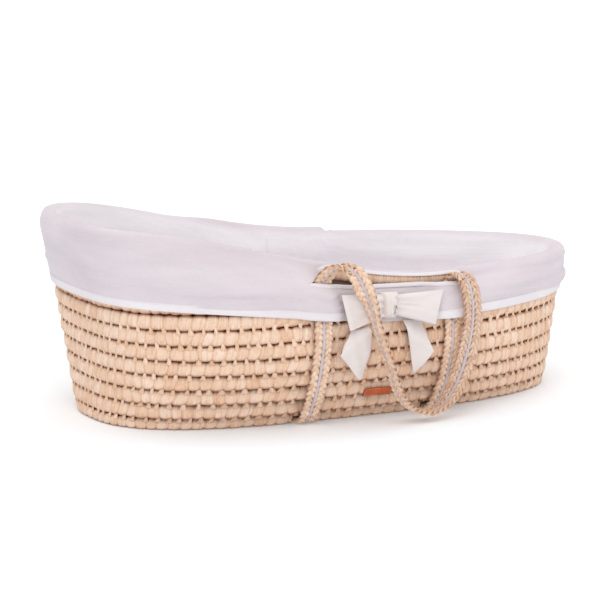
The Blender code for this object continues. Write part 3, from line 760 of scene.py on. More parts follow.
def round_cord(name, line, place, radius, look="cord", tint=CORD_GREY, around=10, closed=False):
    """Round cord along a line, with capped ends."""
    along = np.gradient(line, axis=0)
    if closed:
        along = np.roll(line, -1, 0) - np.roll(line, 1, 0)
    along = unit(along)
    side = np.cross(along, np.broadcast_to((0.0, 0.0, 1.0), along.shape))
    weak = np.linalg.norm(side, axis=-1) < 0.2
    side[weak] = np.cross(along[weak], np.broadcast_to((1.0, 0.0, 0.0), along[weak].shape))
    for i in range(1, len(side)):
        if side[i] @ side[i - 1] < 0.0:
            side[i] = -side[i]
    side = unit(side)
    up = np.cross(side, along)
    turn = np.linspace(0.0, TURN, around, endpoint=False)
    c, s = np.cos(turn)[:, None], np.sin(turn)[:, None]
    points = line[:, None] + radius * (side[:, None] * c + up[:, None] * s)
    uv = pairs(place[:, None], turn * radius)
    faces = [grid_faces(len(line), around, close_rows=closed, close_columns=True)]
    if not closed:
        faces += end_caps(len(line), around)
    obj = mesh_object(name, points, np.concatenate(faces), LOOK[look], tint, uv)
    face_outward(obj)
    return obj


def strap_x(end, z):
    if end == "head":
        return STRAP_X["head"]
    return STRAP_X["foot"] + 0.040 * z + 0.006 * smooth((z - 0.15) / 0.05)


def wall_slope(x, z, side):
    """How the wall's y changes with height and with x on one long side."""
    step = 0.004
    above, below = (wall_flat(angle_at_x(x, z + dz, side), z + dz)[1] for dz in (step, -step))
    right, left = (wall_flat(angle_at_x(x + dx, z, side), z)[1] for dx in (step, -step))
    return (above - below) / (2 * step), (right - left) / (2 * step)


def strap_side(end, side):
    """Strap centre line down one long side, from the slot to the channel below the base."""
    heights = (0.197, 0.180, 0.162, 0.145, 0.125, 0.100, 0.078, 0.058, 0.040, 0.028)
    points = []
    for z in heights[0 if end == "head" else 1:]:
        x = strap_x(end, z)
        slope = abs(wall_slope(x, z, side)[0])
        clear = (BRAID_RADIUS + 0.0008) * (1.0 + slope * slope) ** 0.5
        clear += max(0.0, slope * ROW_PITCH / 2.0 - ROW_THICKNESS / 4.0)
        points.append((x, wall_flat(angle_at_x(x, z, side), z)[1] + side * clear, z))
    x = strap_x(end, 0.0)
    edge = abs(wall_flat(angle_at_x(x, 0.009, side), 0.009)[1])
    under_edge = (
        (0.0225, 0.0185), (0.0150, 0.0105), (0.0060, 0.0058), (-0.0040, 0.0050), (-0.0300, 0.0050))
    for out, z in under_edge:
        points.append((x, side * (edge + out), z))
    return points


def strap_end(end, side):
    """The strap comes up through the slot and over its edge, to where the handle bends."""
    over_edge = {
        ("head", -1): ((-0.0790, -0.2475, 0.2405), (-0.0870, -0.2415, 0.2400), (-0.0950, -0.2365, 0.2350),
                       (-0.1015, -0.2325, 0.2270), (-0.1070, -0.2290, 0.2165)),
        ("head", 1): ((-0.0790, -0.2475, 0.2255), (-0.0870, -0.2415, 0.2265), (-0.0950, -0.2360, 0.2240),
                      (-0.1015, -0.2310, 0.2200), (-0.1070, -0.2280, 0.2135)),
        ("foot", -1): ((0.1272, -0.2155, 0.2082), (0.1240, -0.2105, 0.2065), (0.1210, -0.2070, 0.2020),
                       (0.1180, -0.2045, 0.1955)),
        ("foot", 1): ((0.1272, -0.2155, 0.2056), (0.1240, -0.2105, 0.2045), (0.1210, -0.2070, 0.2005),
                      (0.1180, -0.2045, 0.1950))}
    hinge = (HINGE_HEAD if end == "head" else HINGE_FOOT)["front" if side < 0 else "back"]
    return [(x, -side * y, z) for x, y, z in (hinge, *over_edge[end, side])]


def strap_across(path):
    """Directions across the strap, level along the wall that it lies on."""
    across = []
    for i, p in enumerate(path):
        along = unit(path[min(i + 1, len(path) - 1)] - path[max(i - 1, 0)])
        side = 1 if p[1] > 0 else -1
        level = np.array((1.0, wall_slope(p[0], max(p[2], 0.02), side)[1], 0.0))
        across.append(unit(level - along * (level @ along)))
    return np.array(across)


def frames(line, index, across_at):
    """Across and facing directions along a line, from the directions at its control points."""
    across = np.stack([np.interp(index, np.arange(len(across_at)), across_at[:, k]) for k in range(3)], -1)
    along = unit(np.gradient(line, axis=0))
    across = unit(across - along * np.sum(across * along, -1, keepdims=True))
    return across, np.cross(along, across)


def make_straps():
    """Two sewn straps, each two plaits and a piping cord: front, under the base, back."""
    for number, end in enumerate(("head", "foot")):
        front = strap_end(end, -1) + strap_side(end, -1)
        back = strap_end(end, 1) + strap_side(end, 1)
        centre = np.array(front + list(reversed(back)))
        line, index, place = through(centre, FINE_STEP)
        across, normal = frames(line, index, strap_across(centre))
        outer = -1.0 if end == "head" else 1.0
        for piece, shift in (("braid_outer", outer), ("braid_inner", -outer)):
            path = line + across * shift * BRAID_SPACING
            path[:, 2] = np.maximum(path[:, 2], BRAID_RADIUS)
            obj = plait(f"sewn_{end}_{piece}", path, across, normal, place, 400 + 20 * number + int(shift))
            keep(obj, "basket", "palm_braid", f"strap_{end}_{piece}")
        obj = round_cord(f"sewn_{end}_cord", line + normal_out(line, 0.0012), place, SEWN_CORD_RADIUS)
        keep(obj, "basket", "strap_cord", f"strap_{end}_cord")


def normal_out(line, amount):
    """Moves a cord a little out of the strap's plane on the wall, not under the base."""
    away = np.zeros_like(line)
    away[:, 1] = np.sign(line[:, 1]) * amount * smooth((line[:, 2] - 0.012) / 0.02)
    return away


def handle_route(place):
    """Centre line of a handle as it hangs on the front, its head end first."""
    if place == "front":
        top = ((-0.0635, -0.2580, 0.2245), (-0.0560, -0.2615, 0.2090), (-0.0475, -0.2640, 0.1890))
    else:
        top = ((-0.0625, -0.2585, 0.2085), (-0.0555, -0.2610, 0.1960), (-0.0475, -0.2640, 0.1810))
    return np.array((
        HINGE_HEAD[place], *top,
        (-0.0400, -0.2650, 0.1650), (-0.0315, -0.2645, 0.1380), (-0.0200, -0.2615, 0.1100),
        (-0.0090, -0.2585, 0.0840), (0.0015, -0.2555, 0.0560), (0.0155, -0.2525, 0.0340),
        (0.0355, -0.2500, 0.0195), (0.0610, -0.2475, 0.0145), (0.0850, -0.2450, 0.0225),
        (0.0985, -0.2440, 0.0370), (0.1115, -0.2435, 0.0600), (0.1225, -0.2435, 0.0910),
        (0.1300, -0.2430, 0.1210), (0.1335, -0.2425, 0.1480), (0.1340, -0.2410, 0.1680),
        (0.1325, -0.2360, 0.1880), HINGE_FOOT[place]))


def handle_across(route):
    """Directions across the strap: flat at its ends, edge-on below."""
    sides = []
    for i in range(len(route)):
        share = i / (len(route) - 1)
        turn = np.radians(88.0) * min(smooth((share - 0.04) / 0.16), smooth((0.84 - share) / 0.30))
        along = unit(route[min(i + 1, len(route) - 1)] - route[max(i - 1, 0)])
        across = np.array((np.cos(turn), -np.sin(turn), 0.0))
        sides.append(unit(across - along * (across @ along)))
    return np.array(sides)


def make_handles():
    """Carrying loops: two plaits and a piping cord, bending where they leave the slots."""
    for name, side in (("front", -1.0), ("back", 1.0)):
        route = handle_route(name)
        line, index, place = through(route, FINE_STEP)
        across, normal = frames(line, index, handle_across(route))
        hinge = route[-1] - route[0]
        away = unit(np.array((hinge[1], -hinge[0], 0.0)))
        down = unit(np.cross(hinge, away))
        down = down * -np.sign(down[2])
        mirror = np.array((1.0, -side, 1.0))
        made = []
        for piece, shift in (("braid_near", 1.0), ("braid_far", -1.0)):
            path = (line + across * shift * BRAID_SPACING) * mirror
            obj = plait(f"{name}_{piece}", path, across * mirror, normal * mirror, place,
                        500 + int(3 * side) + int(shift))
            made.append((obj, "palm_braid", f"handle_{name}_{piece}"))
        obj = round_cord(f"{name}_piping_cord", line * mirror, place, CORD_RADIUS)
        made.append((obj, "strap_cord", f"handle_{name}_cord"))
        for obj, slot, node in made:
            face_outward(obj)
            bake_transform(obj)
            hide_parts(node)


# ---- liner
def slot_floor(angle):
    """Lower edge of the slots: sloping gently to the foot, rising to the head corner."""
    x = wall_flat(angle, RIM_HEIGHT)[..., 0]
    return SLOT_FLOOR + SLOT_FLOOR_SLOPE * x + 0.007 * smooth((-0.050 - x) / 0.085)


def slot_top(angle):
    """Upper edge of the slots: just under the crest, closing to a corner at each end."""
    x = wall_flat(angle, RIM_HEIGHT)[..., 0]
    crest = rim_height(angle) - SLOT_BELOW_CREST
    corner = slot_floor(angle) + 0.0010
    inside = smooth((x - SLOT_HEAD_END) / 0.048) * smooth((SLOT_FOOT_END - x) / 0.014)
    outside = smooth(np.maximum(SLOT_HEAD_END - x, x - SLOT_FOOT_END) / 0.050)
    return corner + (crest - corner) * (inside + 0.5 * outside)


def skirt_offset(angle):
    """The skirt stands further out where it passes over a strap."""
    x = wall_flat(angle, HEM_HEIGHT)[..., 0]
    from_strap = np.minimum(np.abs(x - STRAP_X["head"]), np.abs(x - strap_x("foot", 0.175)) - 0.004)
    return SKIRT_OFFSET + SKIRT_OVER_STRAP * smooth((0.041 - from_strap) / 0.026)


def in_slot(angle):
    """Whether the slots' ends are on both sides of an angle."""
    flat = wall_flat(angle, RIM_HEIGHT)
    x, y = flat[..., 0], flat[..., 1]
    return (SLOT_HEAD_END - 0.0005 < x) & (x < SLOT_FOOT_END + 0.0005) & (np.abs(y) > 0.1)


def roll_point(angle, across, z):
    """Point beside the rim roll: across is measured from the roll's middle, outwards."""
    middle = rim_height(angle) - ROLL_DROP
    return with_z(wall_point(angle, middle, across - ROLL_HALF_WIDTH)[..., :2], z)


def roll_outside(angle, z):
    """The cloth where it turns down over the roll's outer side."""
    below = rim_height(angle) - CLOTH / 2 - z
    return roll_point(angle, 0.0065 + np.minimum(below, 0.008) * 0.65, z)


def shoulder(angle):
    crest = rim_height(angle) - CLOTH / 2
    return crest - np.minimum(0.008, (crest - slot_top(angle)) * 0.6)


def skirt_top(angle):
    """The skirt at the slots' upper edge: on the roll there, and clear of it elsewhere."""
    z = slot_top(angle)
    share = smooth((rim_height(angle) - z - 0.006) / 0.03)[..., None]
    return roll_outside(angle, z) * (1.0 - share) + wall_point(angle, z, skirt_offset(angle)) * share


def under_roll(angle):
    """Top of the inner wall: inside both the wall's rows and the roll above them."""
    z = rim_height(angle) - 0.026
    by_wall = wall_point(angle, z, LINER_INSIDE)
    by_roll = roll_point(angle, -0.0120, z)
    out = outward_3d(angle, z)
    beyond = np.sum((by_roll - by_wall) * out, -1, keepdims=True)
    return by_wall + out * (beyond - np.sqrt(beyond**2 + 0.004**2)) / 2.0


def liner_rows(angles):
    """Guide rows of the liner's sheet, from its bottom edge to the hem of the skirt."""
    top, offset = rim_height(angles), skirt_offset(angles)
    crest, floor, hem = top - CLOTH / 2, slot_floor(angles), hem_height(angles)
    return np.array([
        wall_point(angles, LINER_BOTTOM, -0.034),
        wall_point(angles, LINER_FOOT, LINER_INSIDE - 0.002),
        *(wall_point(angles, mix(LINER_FOOT, top - 0.028, share), LINER_INSIDE)
          for share in (0.25, 0.50, 0.75)),
        under_roll(angles),
        roll_point(angles, -0.0120, top - 0.007),
        roll_point(angles, -0.0070, crest),
        roll_point(angles, 0.0065, crest),
        roll_outside(angles, shoulder(angles)),
        skirt_top(angles),
        wall_point(angles, floor, offset),
        wall_point(angles, (floor + hem) / 2, offset),
        wall_point(angles, hem, offset - HEM_SNUG)])


# Guide rows 0 to 5 are the inner wall, 5 to 9 go over the roll, 10 to 11 hold the slots and 11 to 13 are
# the skirt. Each gap between two guide rows is filled with so many rows.
SLOT_ROW = 10
ROW_STEPS = (3, 6, 6, 6, 6, 3, 3, 4, 3, 3, 5, 9, 9)


def refine(rows):
    """More rows between the guide rows, on smooth curves through them."""
    piece = smooth_pieces(rows)
    places = [(j, t) for j, steps in enumerate(ROW_STEPS) for t in np.arange(steps) / steps]
    return (np.array([piece(j, t) for j, t in places] + [rows[-1]]),
            np.array([j + t for j, t in places] + [len(rows) - 1.0]))


def ripples(turn, z, seed, count, drop):
    """Soft folds that run mostly level round the cloth."""
    rng = np.random.default_rng(seed)
    total = 0.0
    for _ in range(count):
        around = rng.integers(2, 9) * rng.choice((-1, 1))
        level = z / (drop * rng.uniform(0.7, 1.8)) + rng.uniform()
        total = total + np.sin(around * turn + TURN * level)
    return total / count**0.5


def slot_columns():
    """Columns round the liner, with one exactly at each end of each slot."""
    angles, place, length = even_angles(RIM_HEIGHT, 0.0042)
    for side in (-1, 1):
        for x in (SLOT_HEAD_END, SLOT_FOOT_END):
            exact = np.mod(angle_at_x(x, RIM_HEIGHT, side), TURN)
            nearest = np.argmin(np.abs(np.mod(angles, TURN) - exact))
            angles[nearest] = exact + TURN * np.round((angles[nearest] - exact) / (TURN))
    return angles, place, length


def make_liner():
    """Cotton sheet over the bottom, up the inside, over the roll and down as a skirt, with its slots."""
    angles, place, length = slot_columns()
    angles, place = np.append(angles, angles[0] + TURN), np.append(place, length)
    rows, guide = refine(liner_rows(angles))
    out = outward_3d(angles, RIM_HEIGHT)
    turn = TURN * place / length
    x, y, z = rows[..., 0], rows[..., 1], rows[..., 2]
    front = y < 0.0
    along_head = smooth((-x + 0.05) / 0.30)

    inner = smooth((guide - 0.6) / 0.8) * smooth((5.6 - guide) / 1.6)
    folds = 0.0019 * ripples(turn, z, 21, 9, 0.085) + 0.0008 * ripples(turn, z, 22, 9, 0.034)
    seam = bell(x, 0.006, 0.0016) * 0.0009
    amount = inner[:, None] * (np.minimum(folds, 0.0012) - seam - 0.0008)

    skirt = smooth((guide - 11.0) / 0.7) * (1.0 - 0.85 * smooth((guide - 12.2) / 0.6))
    level = 0.0022 * ripples(turn, z, 23, 10, 0.050) + 0.0014 * ripples(turn, z, 24, 9, 0.022)
    level = np.maximum(level * (0.65 + 0.9 * along_head), -0.0012)
    pulled = np.exp(-((x + 0.083) / 0.026) ** 2 - ((z - 0.186) / 0.018) ** 2) * front
    level = level + 0.0013 * pulled * np.sin(TURN * (z - 0.05 * x) / 0.0095)
    amount = amount + skirt[:, None] * (level + 0.0009)
    crest = smooth((guide - 6.5) / 1.0) * smooth((10.5 - guide) / 1.0)
    amount = amount + crest[:, None] * 0.0006 * (1.0 + ripples(turn, z, 25, 6, 0.06))
    rows = rows + out[None, :, :] * amount[..., None]

    puffed = smooth((x + 0.17) / 0.10) * smooth((0.112 - x) / 0.007) * (y > 0.1)
    puff = PUFF_HEIGHT * puffed * smooth((guide - 7.2) / 0.8)[:, None]
    rows[..., 2] += puff * smooth((9.8 - guide) / 0.9)[:, None]

    centre = np.array((-0.01, 0.0, LINER_BOTTOM))
    bottom = [mix(centre, rows[0], 0.02)] + [mix(rows[0], centre, share) for share in (0.75, 0.5, 0.25, 0.12)]
    rows = np.concatenate([bottom, rows])
    guide = np.r_[np.full(len(bottom), -1.0), guide]

    inside = in_slot(angles)
    between = np.floor(guide[:-1] + 1e-6) == SLOT_ROW
    skip = between[:, None] & (inside[:-1] & inside[1:])[None, :]
    faces = grid_faces(len(rows), len(angles), skip=skip)
    drop = distances(rows)
    uv = pairs(place, drop[-1] - drop)
    # Painted light: the cotton is made lighter inside the basket, where it lies in shade, and kept deeper on
    # the crest and skirt, which the light from above reaches.
    outer = smooth((guide - 5.0) / 2.6)[:, None, None]
    tint = mix(COTTON_INSIDE_PAINTED_LIGHT, COTTON, outer) + 0.0 * rows
    seam_shade = 0.10 * bell(rows[..., 0], 0.0085, 0.0012) * (guide < 6)[:, None]
    tint = tint * (1.0 - seam_shade)[..., None]
    obj = mesh_object("liner_cloth", rows, faces, LOOK["cotton"], tint, uv)
    with edited(obj) as bm:
        bmesh.ops.delete(bm, geom=[v for v in bm.verts if not v.link_faces], context="VERTS")
    keep(obj, "basket", "cotton", "liner")


def skirt_point(angle, z, further):
    """Point on the skirt's outer face, or on the roll above it."""
    floor, top = slot_floor(angle), slot_top(angle)
    low = wall_point(angle, np.minimum(z, floor), skirt_offset(angle))
    share = np.clip((z - floor) / np.maximum(top - floor, 1e-5), 0.0, 1.0)[..., None]
    point = wall_point(angle, floor, skirt_offset(angle)) * (1.0 - share) + skirt_top(angle) * share
    point = np.where((z < floor)[..., None], low, point)
    point = np.where((z > top)[..., None], roll_outside(angle, z), point)
    point[..., 2] = z
    return point + outward_3d(angle, z) * np.asarray(further)[..., None]


def make_binding():
    """Bias tape folded over each slot's edge."""
    x = np.linspace(SLOT_HEAD_END, SLOT_FOOT_END, 120)
    for name, side in (("front", -1), ("back", 1)):
        angle = angle_at_x(x, RIM_HEIGHT, side)
        upper = np.stack([x, slot_top(angle)], -1)
        lower = np.stack([x, slot_floor(angle)], -1)[::-1]
        loop = np.vstack([upper, lower])
        closed = np.vstack([loop, loop[:1]])
        arc = distances(closed)
        wanted = np.linspace(0.0, arc[-1], 300, endpoint=False)
        loop = np.stack([np.interp(wanted, arc, closed[:, k]) for k in range(2)], -1)
        for _ in range(2):
            loop = 0.5 * loop + 0.25 * (np.roll(loop, 1, 0) + np.roll(loop, -1, 0))
        along = np.roll(loop, -3, 0) - np.roll(loop, 3, 0)
        normal = unit(np.stack([-along[:, 1], along[:, 0]], -1))
        loop_floor = slot_floor(angle_at_x(loop[:, 0], RIM_HEIGHT, side))
        upper_share = smooth((loop[:, 1] - loop_floor - 0.002) / 0.006)
        width = 0.0052 - 0.0010 * upper_share
        rows = []
        folded = ((0.35, -0.0006), (-0.10, -0.0006), (-0.16, 0.0006), (-0.05, 0.0017), (0.20, 0.0021),
                  (0.60, 0.0019), (0.95, 0.0016), (1.02, 0.0006))
        for reach, lift in folded:
            spot = loop + normal * (width * reach)[:, None]
            a = angle_at_x(spot[:, 0], RIM_HEIGHT, side)
            crest = rim_height(a) - CLOTH / 2 + 0.0004
            rows.append(skirt_point(a, np.minimum(spot[:, 1], crest), np.full(len(a), lift)))
        rows = np.array(rows)
        uv = pairs(wanted, np.linspace(0, 0.008, len(rows))[:, None])
        obj = mesh_object(f"{name}_slot_tape", rows, grid_faces(len(rows), len(wanted), close_columns=True),
                          LOOK["trim"], COTTON_WHITE, uv)
        face_outward(obj)
        keep(obj, "basket", "cotton_trim", f"slot_binding_{name}")


def make_hem():
    """Folded hem band round the skirt, with its line of stitches."""
    angles, place, length = even_angles(RIM_HEIGHT, 0.0036)
    hem, offset = hem_height(angles), skirt_offset(angles) - HEM_SNUG
    wave = 0.0004 * ripples(TURN * place / length, 0.0 * place, 31, 6, 1.0)
    folded = ((0.0060, -0.0008), (0.0002, -0.0006), (-0.0007, 0.0004), (0.0002, 0.0012), (0.0030, 0.0015),
              (0.0065, 0.0016), (0.0095, 0.0016), (HEM_TAPE, 0.0015), (HEM_TAPE + 0.0004, 0.0006))
    rows = np.array([wall_point(angles, hem + height, offset + lift + wave) for height, lift in folded])
    rows = np.concatenate([rows, rows[:, :1]], axis=1)
    uv = pairs(np.append(place, length), np.linspace(0, 0.016, len(rows))[:, None])
    obj = mesh_object("skirt_hem", rows, grid_faces(*rows.shape[:2]), LOOK["trim"], COTTON_WHITE, uv)
    face_outward(obj)
    keep(obj, "basket", "cotton_trim", "hem_tape")
    count = int(length / 0.0034)
    spots = np.interp(np.arange(count) * length / count, place, angles)
    dashes("hem_stitches", spots, hem_height(spots) + HEM_TAPE - 0.0016,
           skirt_offset(spots) + 0.0017 - HEM_SNUG)


def dashes(name, angles, z, offset):
    """Row of small stitches on the cloth."""
    middle = wall_point(angles, z, offset)
    out = outward_3d(angles, z)
    along = sideways(out)
    up = np.array((0.0, 0.0, 1.0))
    shape = ((-0.0011, 0, 0), (0, -0.00022, 0), (0.0011, 0, 0), (0, 0.00022, 0), (0, 0, 0.00022))
    points = np.stack([middle + along * a + up * b + out * c for a, b, c in shape], 1)
    thread_marks(name, points, "cotton_trim", COTTON_WHITE * 0.86, is_smooth=False)


def thread_marks(name, points, slot, tint, is_smooth):
    """Stitches from five points each: four corners and a raised middle."""
    faces = repeated(np.array(((0, 1, 4), (1, 2, 4), (2, 3, 4), (3, 0, 4))), len(points), 5)
    uv = np.zeros((len(points) * 5, 2))
    keep(mesh_object(name, points, faces, LOOK["thread"], tint, uv, is_smooth), "basket", slot)


# ---- bow
def bow_frame(offset, lean):
    """Frame on the front of the skirt: x along the wall, y up it, z out of it."""
    middle, left, right = (
        Vector(wall_point(angle_at_x(x, BOW_HEIGHT, -1), np.float64(BOW_HEIGHT), out))
        for x, out in ((0.0, offset), (-0.075, 0.0), (0.080, 0.0)))
    along = (right - left).normalized()
    out = along.cross(Vector((0.0, 0.0, 1.0)))
    out = (out * np.cos(lean) + Vector((0.0, 0.0, 1.0)) * np.sin(lean)).normalized()
    up = out.cross(along)
    return Matrix.Translation(middle) @ Matrix((along, up, out)).transposed().to_4x4()


def bow_piece(name, points, matrix, node):
    """Ribbon from a grid of points in the bow's own frame."""
    rows, columns = points.shape[:2]
    uv = np.stack(np.meshgrid(distances(points[rows // 2]), distances(points[:, columns // 2])), -1)
    m = np.array(matrix)
    points = points @ m[:3, :3].T + m[:3, 3]
    obj = mesh_object(name, points, grid_faces(rows, columns), LOOK["trim"], BOW_WHITE, uv)
    solidify = obj.modifiers.new("cloth", "SOLIDIFY")
    solidify.thickness = RIBBON_THICKNESS
    solidify.offset = 0.0
    keep(obj, "basket", "cotton_trim", node)


def bow_loop(corners, depth, fold):
    """Ribbon doubled back on itself: out from the knot in front, back behind.

    Corners are at the outer edge (top, bottom) and at the knot (bottom, top).
    """
    outer_top, outer_bottom, knot_bottom, knot_top = (np.array(c) for c in corners)
    w = np.linspace(0.0, 1.0, 57)
    v = np.linspace(0.0, 1.0, 37)
    reach = np.sin(np.pi * w) ** 0.55
    reach = reach / reach.max()
    w, v = np.meshgrid(w, v)
    reach = np.broadcast_to(reach, w.shape)
    v_share = v[..., None]
    flat = mix(mix(knot_bottom, knot_top, v_share), mix(outer_bottom, outer_top, v_share), reach[..., None])
    open_share = smooth(reach * 1.6)
    z = depth * 0.5 * (1.0 + np.cos(np.pi * w) * (0.25 + 0.75 * open_share))
    front = smooth((0.62 - w) / 0.2)
    z = z + front * fold(reach, v)
    return with_z(flat, z)


def tail(left, right, ridge):
    """Ribbon end between its left and right edges, creased along a ridge."""
    left, right = np.array(left), np.array(right)
    t = np.linspace(0.0, 1.0, 45)
    a = np.stack([np.interp(t, np.linspace(0, 1, len(left)), left[:, k]) for k in range(2)], -1)
    b = np.stack([np.interp(t, np.linspace(0, 1, len(right)), right[:, k]) for k in range(2)], -1)
    u = np.linspace(0.0, 1.0, 25)
    flat = mix(a[:, None], b[:, None], u[:, None])
    return with_z(flat, ridge(flat[..., 0], flat[..., 1]))


def crease(x, y, a, b, above, below, height):
    """Height of a fold: highest on the line from a to b, falling away on both sides."""
    soft = 0.0012
    a, b = np.array(a), np.array(b)
    along = (b - a) / np.linalg.norm(b - a)
    away = (x - a[0]) * -along[1] + (y - a[1]) * along[0]
    away = away if along[0] > 0 else -away
    drop = np.where(away > 0, away * above, -away * below)
    return height - np.sqrt(drop**2 + (soft * (above + below) / 2) ** 2)


def make_bow():
    """Two loops, a knot and two tails, each a folded ribbon."""
    frame_loops = bow_frame(0.0120, np.radians(13.0))
    frame_tails = bow_frame(0.0105, 0.0)

    def head_fold(reach, v):
        pleats = 0.0018 * np.sin(v * 17.0 + 1.0) * (1.0 - reach) ** 1.1
        hollow = -0.0030 * bell(v, 0.30, 0.15) * smooth(1.4 - 1.4 * reach)
        return pleats + hollow + 0.0010 * bell(reach, 0.93, 0.06)

    def foot_fold(reach, v):
        pleats = 0.0020 * np.sin(v * 16.0 + 0.4) * (1.0 - reach) ** 1.1
        line = 0.47 - 0.10 * reach
        ridge = 0.0066 * np.exp(-(np.maximum(v - line + 0.12, 0.0) / 0.10) ** 2) * (v > line - 0.12)
        ridge = ridge + 0.0066 * np.exp(-((line - 0.12 - v) / 0.22) ** 2) * (v <= line - 0.12)
        groove = -0.0036 * np.exp(-((v - line - 0.07) / 0.055) ** 2) * smooth(1.5 - 2.0 * reach)
        return pleats + ridge * smooth(1.25 - reach) + groove

    head_corners = ((-0.0840, 0.027), (-0.0765, -0.026), (-0.0100, -0.0085), (-0.0065, 0.0210))
    head = bow_loop(head_corners, 0.0058, head_fold)
    bow_piece("bow_head_loop", head, frame_loops, "bow_loop_head")
    foot_corners = ((0.0875, 0.0185), (0.0660, -0.031), (-0.0025, -0.0100), (0.0045, 0.0185))
    foot = bow_loop(foot_corners, 0.0062, foot_fold)
    lifted = frame_loops @ Matrix.Translation((0.0, 0.0, 0.0050))
    bow_piece("bow_foot_loop", foot, lifted, "bow_loop_foot")

    u, v = np.meshgrid(np.linspace(0.0, 1.0, 33), np.linspace(0.0, 1.0, 33))
    corners = np.array(((-0.0200, -0.0125), (0.0050, -0.0150), (-0.0165, 0.0245), (0.0140, 0.0225)))
    low, high = (mix(corners[i], corners[i + 1], u[..., None]) for i in (0, 2))
    flat = mix(low, high, v[..., None])
    flat[..., 0] += (0.5 - u) * 0.0050 * np.sin(np.pi * v)
    crown = 0.0062 + 0.0042 * (1.0 - np.abs(2.0 * u - 1.0) ** 3.0) - 0.0062 * np.abs(2.0 * v - 1.0) ** 5.0
    pleats = 0.0007 * np.sin(u * 15.0 + 1.2 * v) * np.sin(np.pi * u)
    knot = with_z(flat, crown + pleats - 0.0055 * np.abs(2.0 * u - 1.0) ** 8.0)
    bow_piece("bow_middle", knot, frame_loops, "bow_knot")

    def head_ridge(x, y):
        fold = crease(x, y, (-0.040, -0.027), (-0.095, -0.0585), 0.62, 0.30, 0.0125)
        return fold + 0.0006 * np.sin((x + 0.4 * y) * 260.0)

    def foot_ridge(x, y):
        fold = crease(x, y, (0.017, -0.026), (0.0665, -0.0690), 0.60, 0.28, 0.0122)
        return fold + 0.0005 * np.sin((x - 0.3 * y) * 240.0)

    left = tail(((-0.070, -0.026), (-0.084, -0.043), (-0.0950, -0.059), (-0.0735, -0.079), (-0.0520, -0.102)),
                ((-0.042, -0.021), (-0.0390, -0.040), (-0.037, -0.057), (-0.0425, -0.080), (-0.0465, -0.100)),
                head_ridge)
    bow_piece("bow_head_tail", left, frame_tails, "bow_tail_head")
    right = tail(((0.015, -0.017), (0.0215, -0.036), (0.0275, -0.055), (0.0330, -0.080), (0.0385, -0.100)),
                 ((0.054, -0.024), (0.0605, -0.047), (0.067, -0.069), (0.0550, -0.086), (0.0420, -0.099)),
                 foot_ridge)
    bow_piece("bow_foot_tail", right, frame_tails, "bow_tail_foot")


# ---- tag and mattress
def make_tag():
    """Blank leather tag with rounded corners and a line of stitches near its edge."""
    low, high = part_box("leather_label")
    centre_x = (low.x + high.x) / 2.0
    middle = (low.z + high.z) / 2.0
    columns, rows = 61, 25
    half_x, half_z, radius = TAG_HALF_LENGTH, TAG_HALF_HEIGHT, TAG_CORNER
    u, v = np.meshgrid(np.linspace(-1, 1, columns), np.linspace(-1, 1, rows))
    past_corner = np.maximum(np.abs(v) * half_z - half_z + radius, 0)
    inset = radius - np.sqrt(np.maximum(radius**2 - past_corner**2, 0))
    x = centre_x + u * (half_x - inset)
    z = middle + v * half_z
    angle = angle_at_x(x, middle, -1)
    edge = np.minimum((1 - np.abs(u)) * half_x, (1 - np.abs(v)) * half_z)
    rounded = np.minimum(edge / 0.0007, 1.0)
    offset = 0.0066 + 0.0014 * np.sqrt(rounded) - 0.0004 * np.exp(-((edge - 0.0013) / 0.0004) ** 2)
    offset = offset + 0.0006 * np.sin(u * 2.3 + 0.6) + 0.0010 * (v**2) * (u**2)
    front = wall_point(angle, middle + 0.0 * z, offset)
    slope = wall_slope(centre_x, middle, -1)[0]
    front[..., 2] = z
    front[..., 1] += slope * (z - middle)
    back = front + np.array((0.0, 0.0016, 0.0))
    shell = np.stack([front, back])
    one = grid_faces(rows, columns)
    ring = np.r_[np.arange(columns), np.arange(1, rows) * columns + columns - 1,
                 (rows - 1) * columns + np.arange(columns - 2, -1, -1), np.arange(rows - 2, 0, -1) * columns]
    after = np.roll(ring, -1)
    size = rows * columns
    sides = np.stack([ring, after, after + size, ring + size], -1)
    tint = LEATHER * (0.72 + 0.28 * smooth(edge / 0.0012))[..., None]
    tint = np.stack([tint, tint * 0.8])
    uv = np.stack([np.stack([x, z], -1)] * 2)
    faces = np.concatenate([one, one[:, ::-1] + size, sides])
    obj = mesh_object("tag", shell, faces, LOOK["leather"], tint, uv)
    face_outward(obj)
    keep(obj, "basket", "leather", "leather_label")
    spots = [(s * (half_x - 0.0016), t) for s in (-1, 1) for t in np.linspace(-0.0045, 0.0045, 5)]
    spots += [(t, s * (half_z - 0.0014)) for s in (-1, 1) for t in np.linspace(-0.0195, 0.0195, 16)]
    spots = np.array(spots)
    place = angle_at_x(centre_x + spots[:, 0], middle, -1)
    points = wall_point(place, middle, 0.0081)
    points[:, 1] += slope * spots[:, 1]
    points[:, 2] = middle + spots[:, 1]
    upright = np.abs(spots[:, 0]) > half_x - 0.002
    wide, tall = np.where(upright, 0.00025, 0.0009), np.where(upright, 0.0008, 0.00025)
    shape = np.array(((-1, 0, 0), (0, 0, -1), (1, 0, 0), (0, 0, 1), (0, -1, 0)), float)
    reach = np.stack([wide, np.full(len(wide), 0.0004), tall], -1)
    diamonds = points[:, None, :] + shape[None] * reach[:, None, :]
    thread_marks("tag_stitches", diamonds, "leather", THREAD, is_smooth=True)


